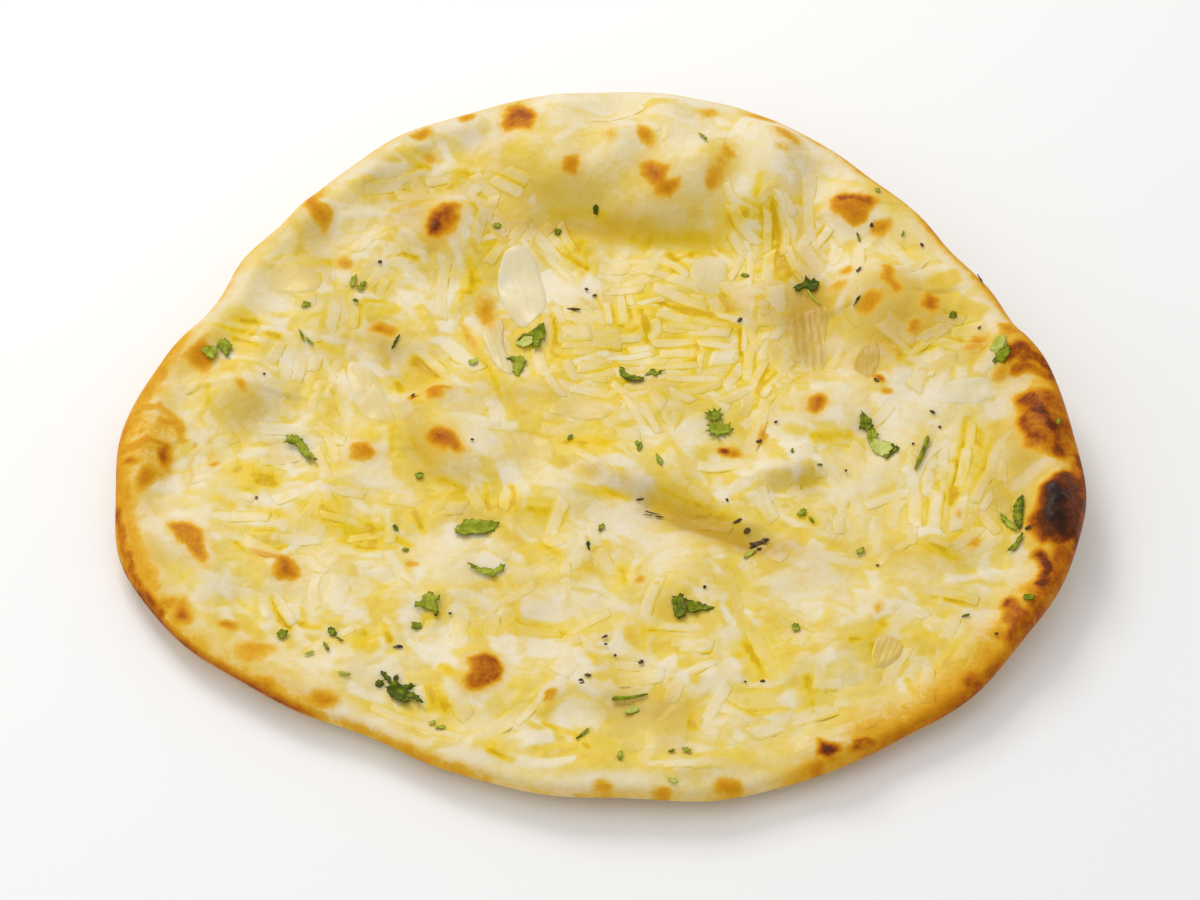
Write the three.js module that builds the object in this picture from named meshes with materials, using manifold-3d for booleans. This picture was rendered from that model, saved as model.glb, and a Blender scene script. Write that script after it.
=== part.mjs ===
// Onion naan: a round flatbread about 300 mm across, baked with onion slivers and dressed with coriander.
// Millimetres, +Z up. The origin is on the table, below the middle of the naan's outline.
// The bread is one solid with its slivers and herb flecks baked on.
// Larger onion petals and coriander leaves lie loose on it, each a solid of its own.
import * as THREE from "three";
import { mergeVertices } from "three/addons/utils/BufferGeometryUtils.js";
import Module from "manifold-3d";

const wasm = await Module();
wasm.setup();

// The outline, seen from above: a mean radius and the waves that run round it. Angles are in degrees from +X.
const meanRadius = 144.8;
const outlineWaves = [
  { lobes: 1, height: 5.9, at: -70 },
  { lobes: 2, height: 1.6, at: -21 },
  { lobes: 3, height: 7.5, at: -35 },
  { lobes: 4, height: 1.5, at: 5 },
  { lobes: 5, height: 1.8, at: -13 },
  { lobes: 13, height: 0.6, at: 10 },
  { lobes: 22, height: 0.4, at: 4 },
];

// Places where the outline is pulled in, or out where the depth is negative; half is an angle.
const outlineDents = [
  { at: 12, half: 4, depth: 1.8 },
  { at: 64, half: 5, depth: 2 },
  { at: 162, half: 6, depth: 2.4 },
  { at: 183, half: 7, depth: -1.4 },
  { at: 236, half: 10, depth: 3.2 },
];

// The bread in section: it lies flat in the middle and its rim curls up, most of all at the back.
// Shares are of the way from the middle to the rim. The thickness changes between the two thinning shares.
const middleThickness = 8;
const rimThickness = 5.5;
const thinning = [0.7, 0.97];
const rimRounding = 3;
const flatShare = 0.42;
const climbPower = 1.7;
const rimHeight = 14.5;
const rimWaves = [
  { lobes: 1, height: 8.2, at: 71 },
  { lobes: 3, height: 1.6, at: 20 },
  { lobes: 7, height: 0.8, at: 15 },
];

// A low roll runs round the top, just inside the rim. Swells and furrows die out over the last smoothRim.
const rimRoll = { rise: 1.6, inset: 8, width: 5 };
const smoothRim = 12;

// Puffed bubbles: middle, half lengths along and across their turn, and rise.
// A front below 1 makes the side towards -Y steeper. A blunter bubble has a flatter top and a steeper foot.
const bubbleBluntness = 1.3;
const bubbles = [
  { x: -11, y: 109, long: 22, wide: 26, turn: 0, rise: 10, front: 0.54, blunt: 2 },
  { x: 22, y: 105, long: 21, wide: 28, turn: 0, rise: 12, front: 0.72, blunt: 2 },
  { x: 52, y: 102, long: 19, wide: 20, turn: -20, rise: 8, front: 0.9, blunt: 2 },
  { x: -52, y: 83, long: 14, wide: 13, turn: 20, rise: 5.5, front: 1 },
  { x: 96, y: 45, long: 20, wide: 14, turn: -40, rise: 6.5, front: 0.8 },
  { x: 87, y: 84, long: 13, wide: 9, turn: -30, rise: 3.5, front: 0.8 },
  { x: -44, y: -12, long: 18, wide: 13, turn: -30, rise: 6, front: 0.85 },
  { x: -53, y: 9, long: 11, wide: 7, turn: 15, rise: 3.5, front: 1 },
  { x: 70, y: 4, long: 15, wide: 12, turn: 0, rise: 4.5, front: 1 },
  { x: -113, y: 8, long: 15, wide: 13, turn: 60, rise: 5, front: 0.8 },
  { x: -125, y: -51, long: 16, wide: 10, turn: -50, rise: 3.5, front: 1 },
  { x: -140, y: -20, long: 15, wide: 9, turn: 82, rise: 3, front: 1 },
  { x: 140, y: -11, long: 15, wide: 8, turn: 88, rise: 4, front: 1 },
  { x: 141, y: -46, long: 16, wide: 8, turn: 85, rise: 5, front: 1 },
  { x: 130, y: -80, long: 12, wide: 7, turn: 55, rise: 2.5, front: 1 },
  { x: 136, y: 17, long: 10, wide: 7, turn: -55, rise: 3, front: 1 },
  { x: -127, y: 24, long: 10, wide: 7, turn: 60, rise: 2.5, front: 1 },
  { x: 6, y: -24, long: 20, wide: 11, turn: 10, rise: 3.5, front: 0.7 },
  { x: 60, y: -21, long: 15, wide: 9, turn: 10, rise: 3, front: 0.7 },
  { x: -100, y: 55, long: 14, wide: 10, turn: -15, rise: 3, front: 0.8 },
  { x: -33, y: -102, long: 9, wide: 8, turn: 0, rise: 2.5, front: 1 },
  { x: -95, y: -61, long: 6, wide: 6, turn: 0, rise: 1.6, front: 1 },
  { x: -75, y: -13, long: 6, wide: 6, turn: 0, rise: 1.8, front: 1 },
  { x: -27, y: 127, long: 8, wide: 7, turn: 0, rise: 2, front: 1 },
  { x: -94, y: 84, long: 8, wide: 7, turn: 0, rise: 2, front: 1 },
  { x: 70, y: -130, long: 9, wide: 5, turn: 15, rise: 2.2, front: 1 },
];

// Furrows and hollows: two ends, half width and depth.
const furrows = [
  { from: [-8, -20], to: [2, -28], width: 4, depth: 2.4 },
  { from: [2, -28], to: [18, -32], width: 3.5, depth: 3 },
  { from: [18, -32], to: [50, -49], width: 5, depth: 4 },
  { from: [58, -29], to: [69, -25], width: 4, depth: 2.2 },
  { from: [70, 52], to: [72, 28], width: 9, depth: 4 },
  { from: [6, 78], to: [40, 78], width: 6, depth: 2.4 },
  { from: [-62, 2], to: [-50, -26], width: 5, depth: 2 },
  { from: [-32, 52], to: [-26, 38], width: 6, depth: 2 },
  { from: [-64, 28], to: [-56, 12], width: 5, depth: 1.8 },
  { from: [-126, 2], to: [-112, -9], width: 6, depth: 1.8 },
];

// Slow unevenness of the whole top: waves of these lengths, each turned from the last by the golden angle.
const swells = [
  { length: 74, height: 1.1 },
  { length: 51, height: 0.8 },
  { length: 37, height: 0.6 },
  { length: 26, height: 0.4 },
];

// How fine the bread's skin is: rings of triangles from the middle to the rim, above and below.
const topRings = 23;
const bottomRings = 10;
const roundingSteps = 2;

// Onion slivers baked on, the largest of those that cover the bread.
// They keep off the bubbles that rise more than bareRise, which baked smooth.
const sliver = { count: 132, reach: 0.88, length: [16, 29], width: [3.6, 5.8], bend: 0.3 };
const sliverSection = { rise: 1.5, sunk: 1.3, steps: 2 };
const bareRise = 4.5;

// Small flecks of chopped coriander baked on.
const fleck = { count: 26, reach: 0.85, length: [3, 5], width: [1.3, 2], bend: 0 };
const fleckSection = { rise: 0.9, sunk: 1.2, steps: 1 };

// How far a bar is shaken off its even place, and how it narrows: to its ends, and from its foot to its top.
const scatterShake = 5;
const endTaper = 0.45;
const topTaper = 0.7;

// Larger onion petals that lie on top.
const petalThickness = 1.7;
const petalEdges = 10;
const petalPoint = 0.45;
const petals = [
  { x: -25, y: 60, long: 34, wide: 15, turn: 97, cup: 1.6 },
  { x: -34, y: 33, long: 27, wide: 7.5, turn: 108, cup: 0.8 },
  { x: 71, y: 38, long: 26, wide: 13, turn: 100, cup: -1.4 },
  { x: 90, y: 24, long: 16, wide: 10, turn: 80, cup: 0.9 },
  { x: -74, y: 15, long: 24, wide: 13, turn: -65, cup: 1 },
  { x: -5, y: 5, long: 21, wide: 11, turn: 170, cup: 1 },
  { x: -23, y: -12, long: 20, wide: 14, turn: 70, cup: 0.9 },
  { x: 115, y: 6, long: 18, wide: 12, turn: 8, cup: 0.8 },
  { x: 85, y: -94, long: 16, wide: 12, turn: 60, cup: 1.4 },
  { x: 15, y: -124, long: 27, wide: 21, turn: 20, cup: 0.7 },
  { x: 36, y: 67, long: 20, wide: 11, turn: 65, cup: 0.9 },
  { x: -100, y: 55, long: 21, wide: 16, turn: -20, cup: 0.8 },
];

// Coriander: lobed leaves, folded leaves and cut stems.
const leafThickness = 0.7;
const leafWave = 0.7;
const leafEdges = 12;
const leafNotch = 0.35;
const stemEdges = 8;
const leaves = [
  { x: 39, y: -1.5, long: 15, wide: 9, turn: 95, lobes: 3 },
  { x: 70, y: 59, long: 12, wide: 9, turn: 60, lobes: 3 },
  { x: 14, y: 21, long: 14, wide: 4.4, turn: -8, lobes: 1 },
  { x: -20, y: 37, long: 11, wide: 7, turn: 35, lobes: 2 },
  { x: -25.5, y: 24, long: 9, wide: 6, turn: -65, lobes: 2 },
  { x: -122.5, y: 25, long: 11, wide: 8, turn: 20, lobes: 2 },
  { x: -93, y: -13, long: 14, wide: 5, turn: -42, lobes: 1 },
  { x: -36, y: -45, long: 14, wide: 6.5, turn: 3, lobes: 1 },
  { x: -33, y: -61, long: 12, wide: 2.6, turn: -8, lobes: 1 },
  { x: -50, y: -75, long: 10, wide: 8, turn: 75, lobes: 3 },
  { x: -57, y: -106, long: 17, wide: 9, turn: -38, lobes: 3 },
  { x: 29, y: -76.5, long: 14, wide: 9, turn: -8, lobes: 2 },
  { x: 89, y: -8, long: 20, wide: 7.5, turn: -60, lobes: 2 },
  { x: 102, y: -17, long: 13, wide: 2.3, turn: 70, lobes: 1 },
  { x: 129.5, y: 17.5, long: 9, wide: 6, turn: -70, lobes: 2 },
  { x: 128, y: -44, long: 13, wide: 6, turn: 80, lobes: 2 },
  { x: 126.5, y: -55.5, long: 11, wide: 2.3, turn: 38, lobes: 1 },
  { x: 10.5, y: -110, long: 13, wide: 2.4, turn: 12, lobes: 1 },
];

// The gap between a loose piece and the bread, and the heights between which its resting place is looked for.
const gap = 0.3;
const settleRange = [-3, 6];
const settleStep = 0.05;

// The margin that baked-on pieces leave round the loose ones.
// A baked-on piece that would come too near is turned by this much, a few times over, or else skipped.
const clearance = 1.2;
const dodge = { turn: 40, tries: 4 };

const bakedColour = 0xf0dca4;
const onionColour = 0xefe4bd;
const corianderColour = 0x6f7a1c;

const goldenAngle = Math.PI * (3 - Math.sqrt(5));
const radians = THREE.MathUtils.degToRad;
const { lerp, smoothstep } = THREE.MathUtils;

// A repeatable draw between 0 and 1 for piece number n. Each use has its own channel.
function draw(n, channel) {
  const s = Math.sin(n * 12.9898 + channel * 78.233) * 43758.5453;
  return s - Math.floor(s);
}

function waveSum(waves, angle) {
  return waves.reduce((sum, w) => sum + w.height * Math.cos(w.lobes * (angle - radians(w.at))), 0);
}

function rimRadius(angle) {
  const dentOf = (d) => d.depth * Math.exp((Math.cos(angle - radians(d.at)) - 1) / radians(d.half) ** 2);
  return meanRadius + waveSum(outlineWaves, angle) - outlineDents.reduce((sum, d) => sum + dentOf(d), 0);
}

// A point's share of the way from the middle to the rim.
const shareOf = (x, y) => Math.hypot(x, y) / rimRadius(Math.atan2(y, x));

function bottomHeight(x, y) {
  const climb = Math.max(0, (shareOf(x, y) - flatShare) / (1 - flatShare));
  const rim = rimHeight + waveSum(rimWaves, Math.atan2(y, x)) - rimThickness / 2;
  return rim * climb ** climbPower;
}

function bubbleRise(x, y) {
  let rise = 0;
  for (const b of bubbles) {
    const turn = radians(b.turn);
    const along = ((x - b.x) * Math.cos(turn) + (y - b.y) * Math.sin(turn)) / b.long;
    let across = ((y - b.y) * Math.cos(turn) - (x - b.x) * Math.sin(turn)) / b.wide;
    if (y < b.y) across /= b.front;
    rise += b.rise * Math.exp(-((along * along + across * across) ** (b.blunt ?? bubbleBluntness)));
  }
  return rise;
}

function distanceToLine(x, y, from, to) {
  const [dx, dy] = [to[0] - from[0], to[1] - from[1]];
  const t = THREE.MathUtils.clamp(((x - from[0]) * dx + (y - from[1]) * dy) / (dx * dx + dy * dy), 0, 1);
  return Math.hypot(x - from[0] - t * dx, y - from[1] - t * dy);
}

function furrowDepth(x, y) {
  const depthOf = (f) => f.depth * Math.exp(-((distanceToLine(x, y, f.from, f.to) / f.width) ** 2));
  return Math.max(...furrows.map(depthOf));
}

function swell(x, y) {
  return swells.reduce((sum, s, i) => {
    const turn = i * goldenAngle;
    const phase = ((x * Math.cos(turn) + y * Math.sin(turn)) / s.length) * 2 * Math.PI;
    const other = ((y * Math.cos(turn) - x * Math.sin(turn)) / s.length) * 2 * Math.PI;
    return sum + s.height * Math.sin(phase) * Math.cos(other);
  }, 0);
}

function topHeight(x, y) {
  const share = shareOf(x, y);
  const inset = (1 - share) * meanRadius;
  const thickness = lerp(middleThickness, rimThickness, smoothstep(share, ...thinning));
  const rolled = rimRoll.rise * Math.exp(-(((inset - rimRoll.inset) / rimRoll.width) ** 2));
  const uneven = (swell(x, y) - furrowDepth(x, y)) * smoothstep(inset, 0, smoothRim);
  return bottomHeight(x, y) + thickness + rolled + bubbleRise(x, y) + uneven;
}

// Triangles between a ring of 6 * k points and the next one out, of 6 * (k + 1) points, anticlockwise.
function stitchGrowing(faces, inner, outer, k) {
  const innerPoint = (i) => (k ? inner + (i % (6 * k)) : inner);
  const outerPoint = (i) => outer + (i % (6 * (k + 1)));
  for (let sector = 0; sector < 6; sector++) {
    const [a, b] = [sector * k, sector * (k + 1)];
    for (let i = 0; i <= k; i++) {
      faces.push([innerPoint(a + i), outerPoint(b + i), outerPoint(b + i + 1)]);
      if (i < k) faces.push([innerPoint(a + i), outerPoint(b + i + 1), innerPoint(a + i + 1)]);
    }
  }
}

// Two rings of any counts, joined by always taking the shorter step round.
function stitchRings(faces, inner, innerCount, outer, outerCount) {
  let [i, j] = [0, 0];
  while (i < innerCount || j < outerCount) {
    if (j === outerCount || (i < innerCount && (i + 0.5) / innerCount < (j + 0.5) / outerCount)) {
      faces.push([inner + (i % innerCount), outer + (j % outerCount), inner + ((i + 1) % innerCount)]);
      i++;
    } else {
      faces.push([inner + (i % innerCount), outer + (j % outerCount), outer + ((j + 1) % outerCount)]);
      j++;
    }
  }
}

function solidOf(points, faces) {
  const mesh = new wasm.Mesh({
    numProp: 3,
    vertProperties: new Float32Array(points.flat()),
    triVerts: new Uint32Array(faces.flat()),
  });
  return new wasm.Manifold(mesh);
}

// The bare bread: a disc of rings above, a rounded rim, and a coarser disc of rings below.
function makeBread() {
  const points = [];
  const faces = [];
  const addRing = (count, place) => {
    const start = points.length;
    for (let i = 0; i < count; i++) points.push(place((i / count) * 2 * Math.PI));
    return start;
  };
  const edge = (angle) => rimRadius(angle) - rimRounding;
  const disc = (rings, height) => {
    let inner = addRing(1, () => [0, 0, height(0, 0)]);
    for (let k = 0; k < rings; k++) {
      const outer = addRing(6 * (k + 1), (angle) => {
        const r = (edge(angle) * (k + 1)) / rings;
        const [x, y] = [r * Math.cos(angle), r * Math.sin(angle)];
        return [x, y, height(x, y)];
      });
      stitchGrowing(faces, inner, outer, k);
      inner = outer;
    }
    return inner;
  };
  const topEdge = disc(topRings, topHeight);
  const rimCount = 6 * topRings;
  let last = topEdge;
  for (let step = 1; step <= 2 * roundingSteps - 1; step++) {
    const roll = Math.PI * (0.5 - step / (2 * roundingSteps));
    const ring = addRing(rimCount, (angle) => {
      const [x, y] = [edge(angle) * Math.cos(angle), edge(angle) * Math.sin(angle)];
      const [top, bottom] = [topHeight(x, y), bottomHeight(x, y)];
      const out = rimRounding * Math.cos(roll);
      const z = lerp(bottom, top, 0.5 + 0.5 * Math.sin(roll));
      return [x + out * Math.cos(angle), y + out * Math.sin(angle), z];
    });
    stitchRings(faces, last, rimCount, ring, rimCount);
    last = ring;
  }
  const topFaces = faces.length;
  const bottomEdge = disc(bottomRings, bottomHeight);
  stitchRings(faces, bottomEdge, 6 * bottomRings, last, rimCount);
  faces.slice(topFaces).forEach((face) => face.reverse());
  return solidOf(points, faces);
}

// A bar that lies on the bread: a middle line of arc shape, with a flat section that narrows to both ends.
function makeBar({ x, y, turn, length, width, bend }, { rise, sunk, steps }) {
  const points = [];
  const faces = [];
  const section = [
    [-1, -sunk],
    [-topTaper, rise],
    [topTaper, rise],
    [1, -sunk],
  ];
  for (let s = 0; s <= steps; s++) {
    const t = (2 * s) / steps - 1;
    const heading = turn + bend * t;
    const cx = x + (length / 2) * t * Math.cos(turn) - (length / 4) * bend * t * t * Math.sin(turn);
    const cy = y + (length / 2) * t * Math.sin(turn) + (length / 4) * bend * t * t * Math.cos(turn);
    const half = (width / 2) * (1 - endTaper * t * t);
    for (const [across, up] of section) {
      const [px, py] = [cx - half * across * Math.sin(heading), cy + half * across * Math.cos(heading)];
      points.push([px, py, topHeight(px, py) + up]);
    }
  }
  for (let s = 0; s < steps; s++) {
    for (let c = 0; c < 4; c++) {
      const [a, b] = [s * 4 + c, s * 4 + ((c + 1) % 4)];
      faces.push([a, b + 4, b], [a, a + 4, b + 4]);
    }
  }
  const end = steps * 4;
  faces.push([0, 1, 2], [0, 2, 3], [end, end + 2, end + 1], [end, end + 3, end + 2]);
  return solidOf(points, faces);
}

// True where a bar comes too near one of the loose pieces.
function nearLoosePiece({ x, y, turn, length, width }) {
  const [dx, dy] = [(length / 2) * Math.cos(turn), (length / 2) * Math.sin(turn)];
  const reach = width / 2 + clearance;
  return [...petals, ...leaves].some(
    (p) => distanceToLine(p.x, p.y, [x - dx, y - dy], [x + dx, y + dy]) < reach + p.long / 2,
  );
}

// Bars sit on a sunflower spiral, so they cover the bread evenly. Each draws its own place, turn and size.
function scatterBars(kind, channel) {
  const bars = [];
  for (let n = 0; n < kind.count; n++) {
    const angle = n * goldenAngle + channel;
    const r = kind.reach * Math.sqrt((n + 0.5) / kind.count) * rimRadius(angle);
    const bar = {
      x: r * Math.cos(angle) + scatterShake * (draw(n, channel + 1) - 0.5),
      y: r * Math.sin(angle) + scatterShake * (draw(n, channel + 2) - 0.5),
      length: lerp(...kind.length, draw(n, channel + 3)),
      turn: Math.PI * draw(n, channel + 4),
      width: lerp(...kind.width, draw(n, channel + 5)),
      bend: kind.bend * (2 * draw(n, channel + 6) - 1),
    };
    for (let i = 0; i < dodge.tries && nearLoosePiece(bar); i++) bar.turn += radians(dodge.turn);
    if (bubbleRise(bar.x, bar.y) < bareRise && !nearLoosePiece(bar)) bars.push(bar);
  }
  return bars;
}

// A thin sheet laid over the bread, with the same triangles on both faces. outline(angle) gives its edge,
// as shares of half its length and half its width, and lift(u, v) its height over the bread's skin.
function makeSheet(piece, thickness, edgeCount, outline, lift) {
  const points = [];
  const faces = [];
  const turn = radians(piece.turn);
  const place = (u, v, up) => {
    const [along, across] = [(u * piece.long) / 2, (v * piece.wide) / 2];
    const x = piece.x + along * Math.cos(turn) - across * Math.sin(turn);
    const y = piece.y + along * Math.sin(turn) + across * Math.cos(turn);
    points.push([x, y, topHeight(x, y) + lift(u, v) + up]);
  };
  const shares = [0.5, 1];
  for (const up of [thickness, 0]) {
    place(0, 0, up);
    for (const share of shares) {
      for (let i = 0; i < edgeCount; i++) {
        const [u, v] = outline((i / edgeCount) * 2 * Math.PI);
        place(u * share, v * share, up);
      }
    }
  }
  const layer = 1 + shares.length * edgeCount;
  const rim = 1 + edgeCount;
  for (let i = 0; i < edgeCount; i++) {
    const j = (i + 1) % edgeCount;
    const face = [
      [0, 1 + i, 1 + j],
      [1 + i, rim + i, rim + j],
      [1 + i, rim + j, 1 + j],
    ];
    for (const [a, b, c] of face) faces.push([a, b, c], [layer + a, layer + c, layer + b]);
    faces.push([rim + i, layer + rim + i, layer + rim + j], [rim + i, layer + rim + j, rim + j]);
  }
  return solidOf(points, faces);
}

// A petal is a lens with pointed ends, cupped across.
function makePetal(petal) {
  const pointed = (angle) => 1 - petalPoint * (1 - Math.abs(Math.sin(angle)));
  const outline = (angle) => [Math.cos(angle), Math.sin(angle) * pointed(angle)];
  const lift = (u, v) => petal.cup * (petal.cup > 0 ? 1 - v * v : -v * v);
  return makeSheet(petal, petalThickness, petalEdges, outline, lift);
}

// A leaf has one, two or three lobes, cut between, and its edge waves up and down.
function makeLeaf(leaf, n) {
  const notched = leaf.lobes > 1;
  const outline = (angle) => {
    const notch = notched ? leafNotch * Math.abs(Math.cos((leaf.lobes * angle) / 2)) ** 3 : 0;
    return [Math.cos(angle) * (1 - notch), Math.sin(angle) * (1 - notch)];
  };
  const lift = (u, v) => leafWave * (1 + Math.sin(3 * u + n) * Math.cos(2.5 * v + 2 * n));
  return makeSheet(leaf, leafThickness, notched ? leafEdges : stemEdges, outline, lift);
}

// Lowers or lifts a loose piece until it only just clears the bread.
function settle(piece, bread) {
  let [low, high] = settleRange;
  while (high - low > settleStep) {
    const middle = (low + high) / 2;
    if (piece.translate([0, 0, middle]).intersect(bread).volume() > 0) low = middle;
    else high = middle;
  }
  return piece.translate([0, 0, high + gap]);
}

// The largest shell alone: small hollows that the bars seal are filled, and loose scraps are dropped.
function outerShell(solid) {
  return solid.decompose().reduce((largest, shell) => (shell.volume() > largest.volume() ? shell : largest));
}

function geometryOf(solid) {
  const mesh = solid.getMesh();
  const geometry = new THREE.BufferGeometry();
  geometry.setAttribute("position", new THREE.BufferAttribute(mesh.vertProperties, 3));
  geometry.setIndex(new THREE.BufferAttribute(mesh.triVerts, 1));
  return mergeVertices(geometry, 1e-3);
}

function addMesh(group, name, solid, material) {
  const mesh = new THREE.Mesh(geometryOf(solid), material);
  mesh.name = name;
  group.add(mesh);
}

const bakedDough = new THREE.MeshStandardMaterial({ color: bakedColour, roughness: 0.55 });
const onion = new THREE.MeshStandardMaterial({ color: onionColour, roughness: 0.35 });
const coriander = new THREE.MeshStandardMaterial({ color: corianderColour, roughness: 0.6 });

const naan = new THREE.Group();
const bread = makeBread();
const slivers = scatterBars(sliver, 10).map((bar) => makeBar(bar, sliverSection));
const flecks = scatterBars(fleck, 20).map((bar) => makeBar(bar, fleckSection));
const fused = [...slivers, ...flecks].reduce((whole, bar) => whole.add(bar), bread);
addMesh(naan, "naan_bread", outerShell(fused), bakedDough);
petals.forEach((petal, n) => addMesh(naan, `onion_petal_${n + 1}`, settle(makePetal(petal), bread), onion));
leaves.forEach((leaf, n) => addMesh(naan, `coriander_${n + 1}`, settle(makeLeaf(leaf, n), bread), coriander));

// The whole is shifted so that the middle of its outline is above the origin.
const bounds = new THREE.Box3().setFromObject(naan);
const middle = bounds.getCenter(new THREE.Vector3());
naan.position.set(-middle.x, -middle.y, -bounds.min.z);

export default naan;
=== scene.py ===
# Onion naan: a baked flatbread with onion slivers, coriander and melted butter.
# Its sizes are in millimetres from the bread's own centre, and inFrame turns them into the frame's metres.

import math

import bpy
import numpy as np
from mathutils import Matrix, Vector
from mathutils.geometry import delaunay_2d_cdt


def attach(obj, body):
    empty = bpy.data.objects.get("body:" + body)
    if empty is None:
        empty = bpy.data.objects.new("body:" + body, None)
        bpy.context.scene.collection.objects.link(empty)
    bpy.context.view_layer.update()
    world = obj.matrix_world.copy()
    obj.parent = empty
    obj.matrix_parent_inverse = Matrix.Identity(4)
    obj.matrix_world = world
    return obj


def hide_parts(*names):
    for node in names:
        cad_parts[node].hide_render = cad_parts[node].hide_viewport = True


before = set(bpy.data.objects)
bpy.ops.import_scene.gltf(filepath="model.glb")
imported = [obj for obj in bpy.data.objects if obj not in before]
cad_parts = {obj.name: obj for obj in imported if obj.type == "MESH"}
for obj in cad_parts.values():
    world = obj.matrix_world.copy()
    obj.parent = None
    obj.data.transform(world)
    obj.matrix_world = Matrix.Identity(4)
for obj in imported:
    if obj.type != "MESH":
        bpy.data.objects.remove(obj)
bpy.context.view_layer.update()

# The bread's form, by the same sizes and rules as the solid in the frame.
breadForm = {
    "meanRadius": 144.8,
    "outlineWaves": (  # lobes round the outline, height, degrees from +X
      (1, 5.9, -70), (2, 1.6, -21), (3, 7.5, -35), (4, 1.5, 5), (5, 1.8, -13), (13, 0.6, 10), (22, 0.4, 4),
    ),
    "outlineDents": (  # degrees from +X, half width in degrees, depth
      (12, 4, 1.8), (64, 5, 2), (162, 6, 2.4), (183, 7, -1.4), (236, 10, 3.2),
    ),
    "middleThickness": 8,
    "rimThickness": 5.5,
    "thinning": (0.7, 0.97),
    "rimRounding": 3,
    "flatShare": 0.42,
    "climbPower": 1.7,
    "rimHeight": 14.5,
    "rimWaves": ((1, 8.2, 71), (3, 1.6, 20), (7, 0.8, 15)),
    "rollRise": 1.6,
    "rollInset": 8,
    "rollWidth": 5,
    "smoothRim": 12,
    "swells": ((74, 1.1), (51, 0.8), (37, 0.6), (26, 0.4)),  # wave length, height
}

# Puffed bubbles: x, y, half length, half width, turn, rise, front share and bluntness.
bubbles = (
    (-11, 109, 22, 26, 0, 10, 0.54, 2), (22, 105, 21, 28, 0, 12, 0.72, 2),
    (52, 102, 19, 20, -20, 8, 0.9, 2), (-52, 83, 14, 13, 20, 5.5, 1, 1.3),
    (96, 45, 20, 14, -40, 6.5, 0.8, 1.3), (87, 84, 13, 9, -30, 3.5, 0.8, 1.3),
    (-44, -12, 18, 13, -30, 6, 0.85, 1.3), (-53, 9, 11, 7, 15, 3.5, 1, 1.3),
    (70, 4, 15, 12, 0, 4.5, 1, 1.3), (-113, 8, 15, 13, 60, 5, 0.8, 1.3),
    (-125, -51, 16, 10, -50, 3.5, 1, 1.3), (-140, -20, 15, 9, 82, 3, 1, 1.3),
    (140, -11, 15, 8, 88, 4, 1, 1.3), (141, -46, 16, 8, 85, 5, 1, 1.3), (130, -80, 12, 7, 55, 2.5, 1, 1.3),
    (136, 17, 10, 7, -55, 3, 1, 1.3), (-127, 24, 10, 7, 60, 2.5, 1, 1.3),
    (6, -24, 20, 11, 10, 3.5, 0.7, 1.3), (60, -21, 15, 9, 10, 3, 0.7, 1.3),
    (-100, 55, 14, 10, -15, 3, 0.8, 1.3), (-33, -102, 9, 8, 0, 2.5, 1, 1.3),
    (-95, -61, 6, 6, 0, 1.6, 1, 1.3), (-75, -13, 6, 6, 0, 1.8, 1, 1.3), (-27, 127, 8, 7, 0, 2, 1, 1.3),
    (-94, 84, 8, 7, 0, 2, 1, 1.3), (70, -130, 9, 5, 15, 2.2, 1, 1.3),
)

# Furrows: both ends, half width and depth.
furrows = (
    (-8, -20, 2, -28, 4, 2.4), (2, -28, 18, -32, 3.5, 3), (18, -32, 50, -49, 5, 4),
    (58, -29, 69, -25, 4, 2.2), (70, 52, 72, 28, 9, 4), (6, 78, 40, 78, 6, 2.4), (-62, 2, -50, -26, 5, 2),
    (-32, 52, -26, 38, 6, 2), (-64, 28, -56, 12, 5, 1.8), (-126, 2, -112, -9, 6, 1.8),
)

goldenAngle = math.pi * (3 - math.sqrt(5))


def waveSum(waves, angle):
    return sum(height * np.cos(lobes * (angle - math.radians(at))) for lobes, height, at in waves)


def rimRadius(angle):
    radius = breadForm["meanRadius"] + waveSum(breadForm["outlineWaves"], angle)
    for at, half, depth in breadForm["outlineDents"]:
        radius = radius - depth * np.exp((np.cos(angle - math.radians(at)) - 1) / math.radians(half) ** 2)
    return radius


def easeBetween(value, low, high):
    share = np.clip((value - low) / (high - low), 0, 1)
    return share * share * (3 - 2 * share)


def shareOf(x, y):  # a point's share of the way from the middle to the rim
    return np.hypot(x, y) / rimRadius(np.arctan2(y, x))


def insetOf(x, y):
    return (1 - shareOf(x, y)) * breadForm["meanRadius"]


def between(limits, share):
    return limits[0] + (limits[1] - limits[0]) * share


def alongAcross(x, y, middleX, middleY, turn):  # a place as a turned piece sees it
    c, s = math.cos(math.radians(turn)), math.sin(math.radians(turn))
    return (x - middleX) * c + (y - middleY) * s, (y - middleY) * c - (x - middleX) * s


def ovalDistance(x, y, middleX, middleY, long, wide, turn):  # 1 on the oval's edge
    along, across = alongAcross(x, y, middleX, middleY, turn)
    return np.hypot(along / long, across / wide)


def lineDistance(x, y, ax, ay, bx, by):
    dx, dy = bx - ax, by - ay
    t = np.clip(((x - ax) * dx + (y - ay) * dy) / (dx * dx + dy * dy), 0, 1)
    return np.hypot(x - ax - t * dx, y - ay - t * dy)


def pathDistance(x, y, line):
    return np.min([lineDistance(x, y, *start, *end) for start, end in zip(line, line[1:])], axis=0)


def rowsOf(groups):  # the rows of a table that is grouped by amount; a turn left out is 0
    return [(*row, 0)[:5] + (amount,) for amount, rows in groups.items() for row in rows]


def bottomHeight(x, y):
    climb = np.maximum(0, (shareOf(x, y) - breadForm["flatShare"]) / (1 - breadForm["flatShare"]))
    rim = breadForm["rimHeight"] - breadForm["rimThickness"] / 2
    rim = rim + waveSum(breadForm["rimWaves"], np.arctan2(y, x))
    return rim * climb ** breadForm["climbPower"]


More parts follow.
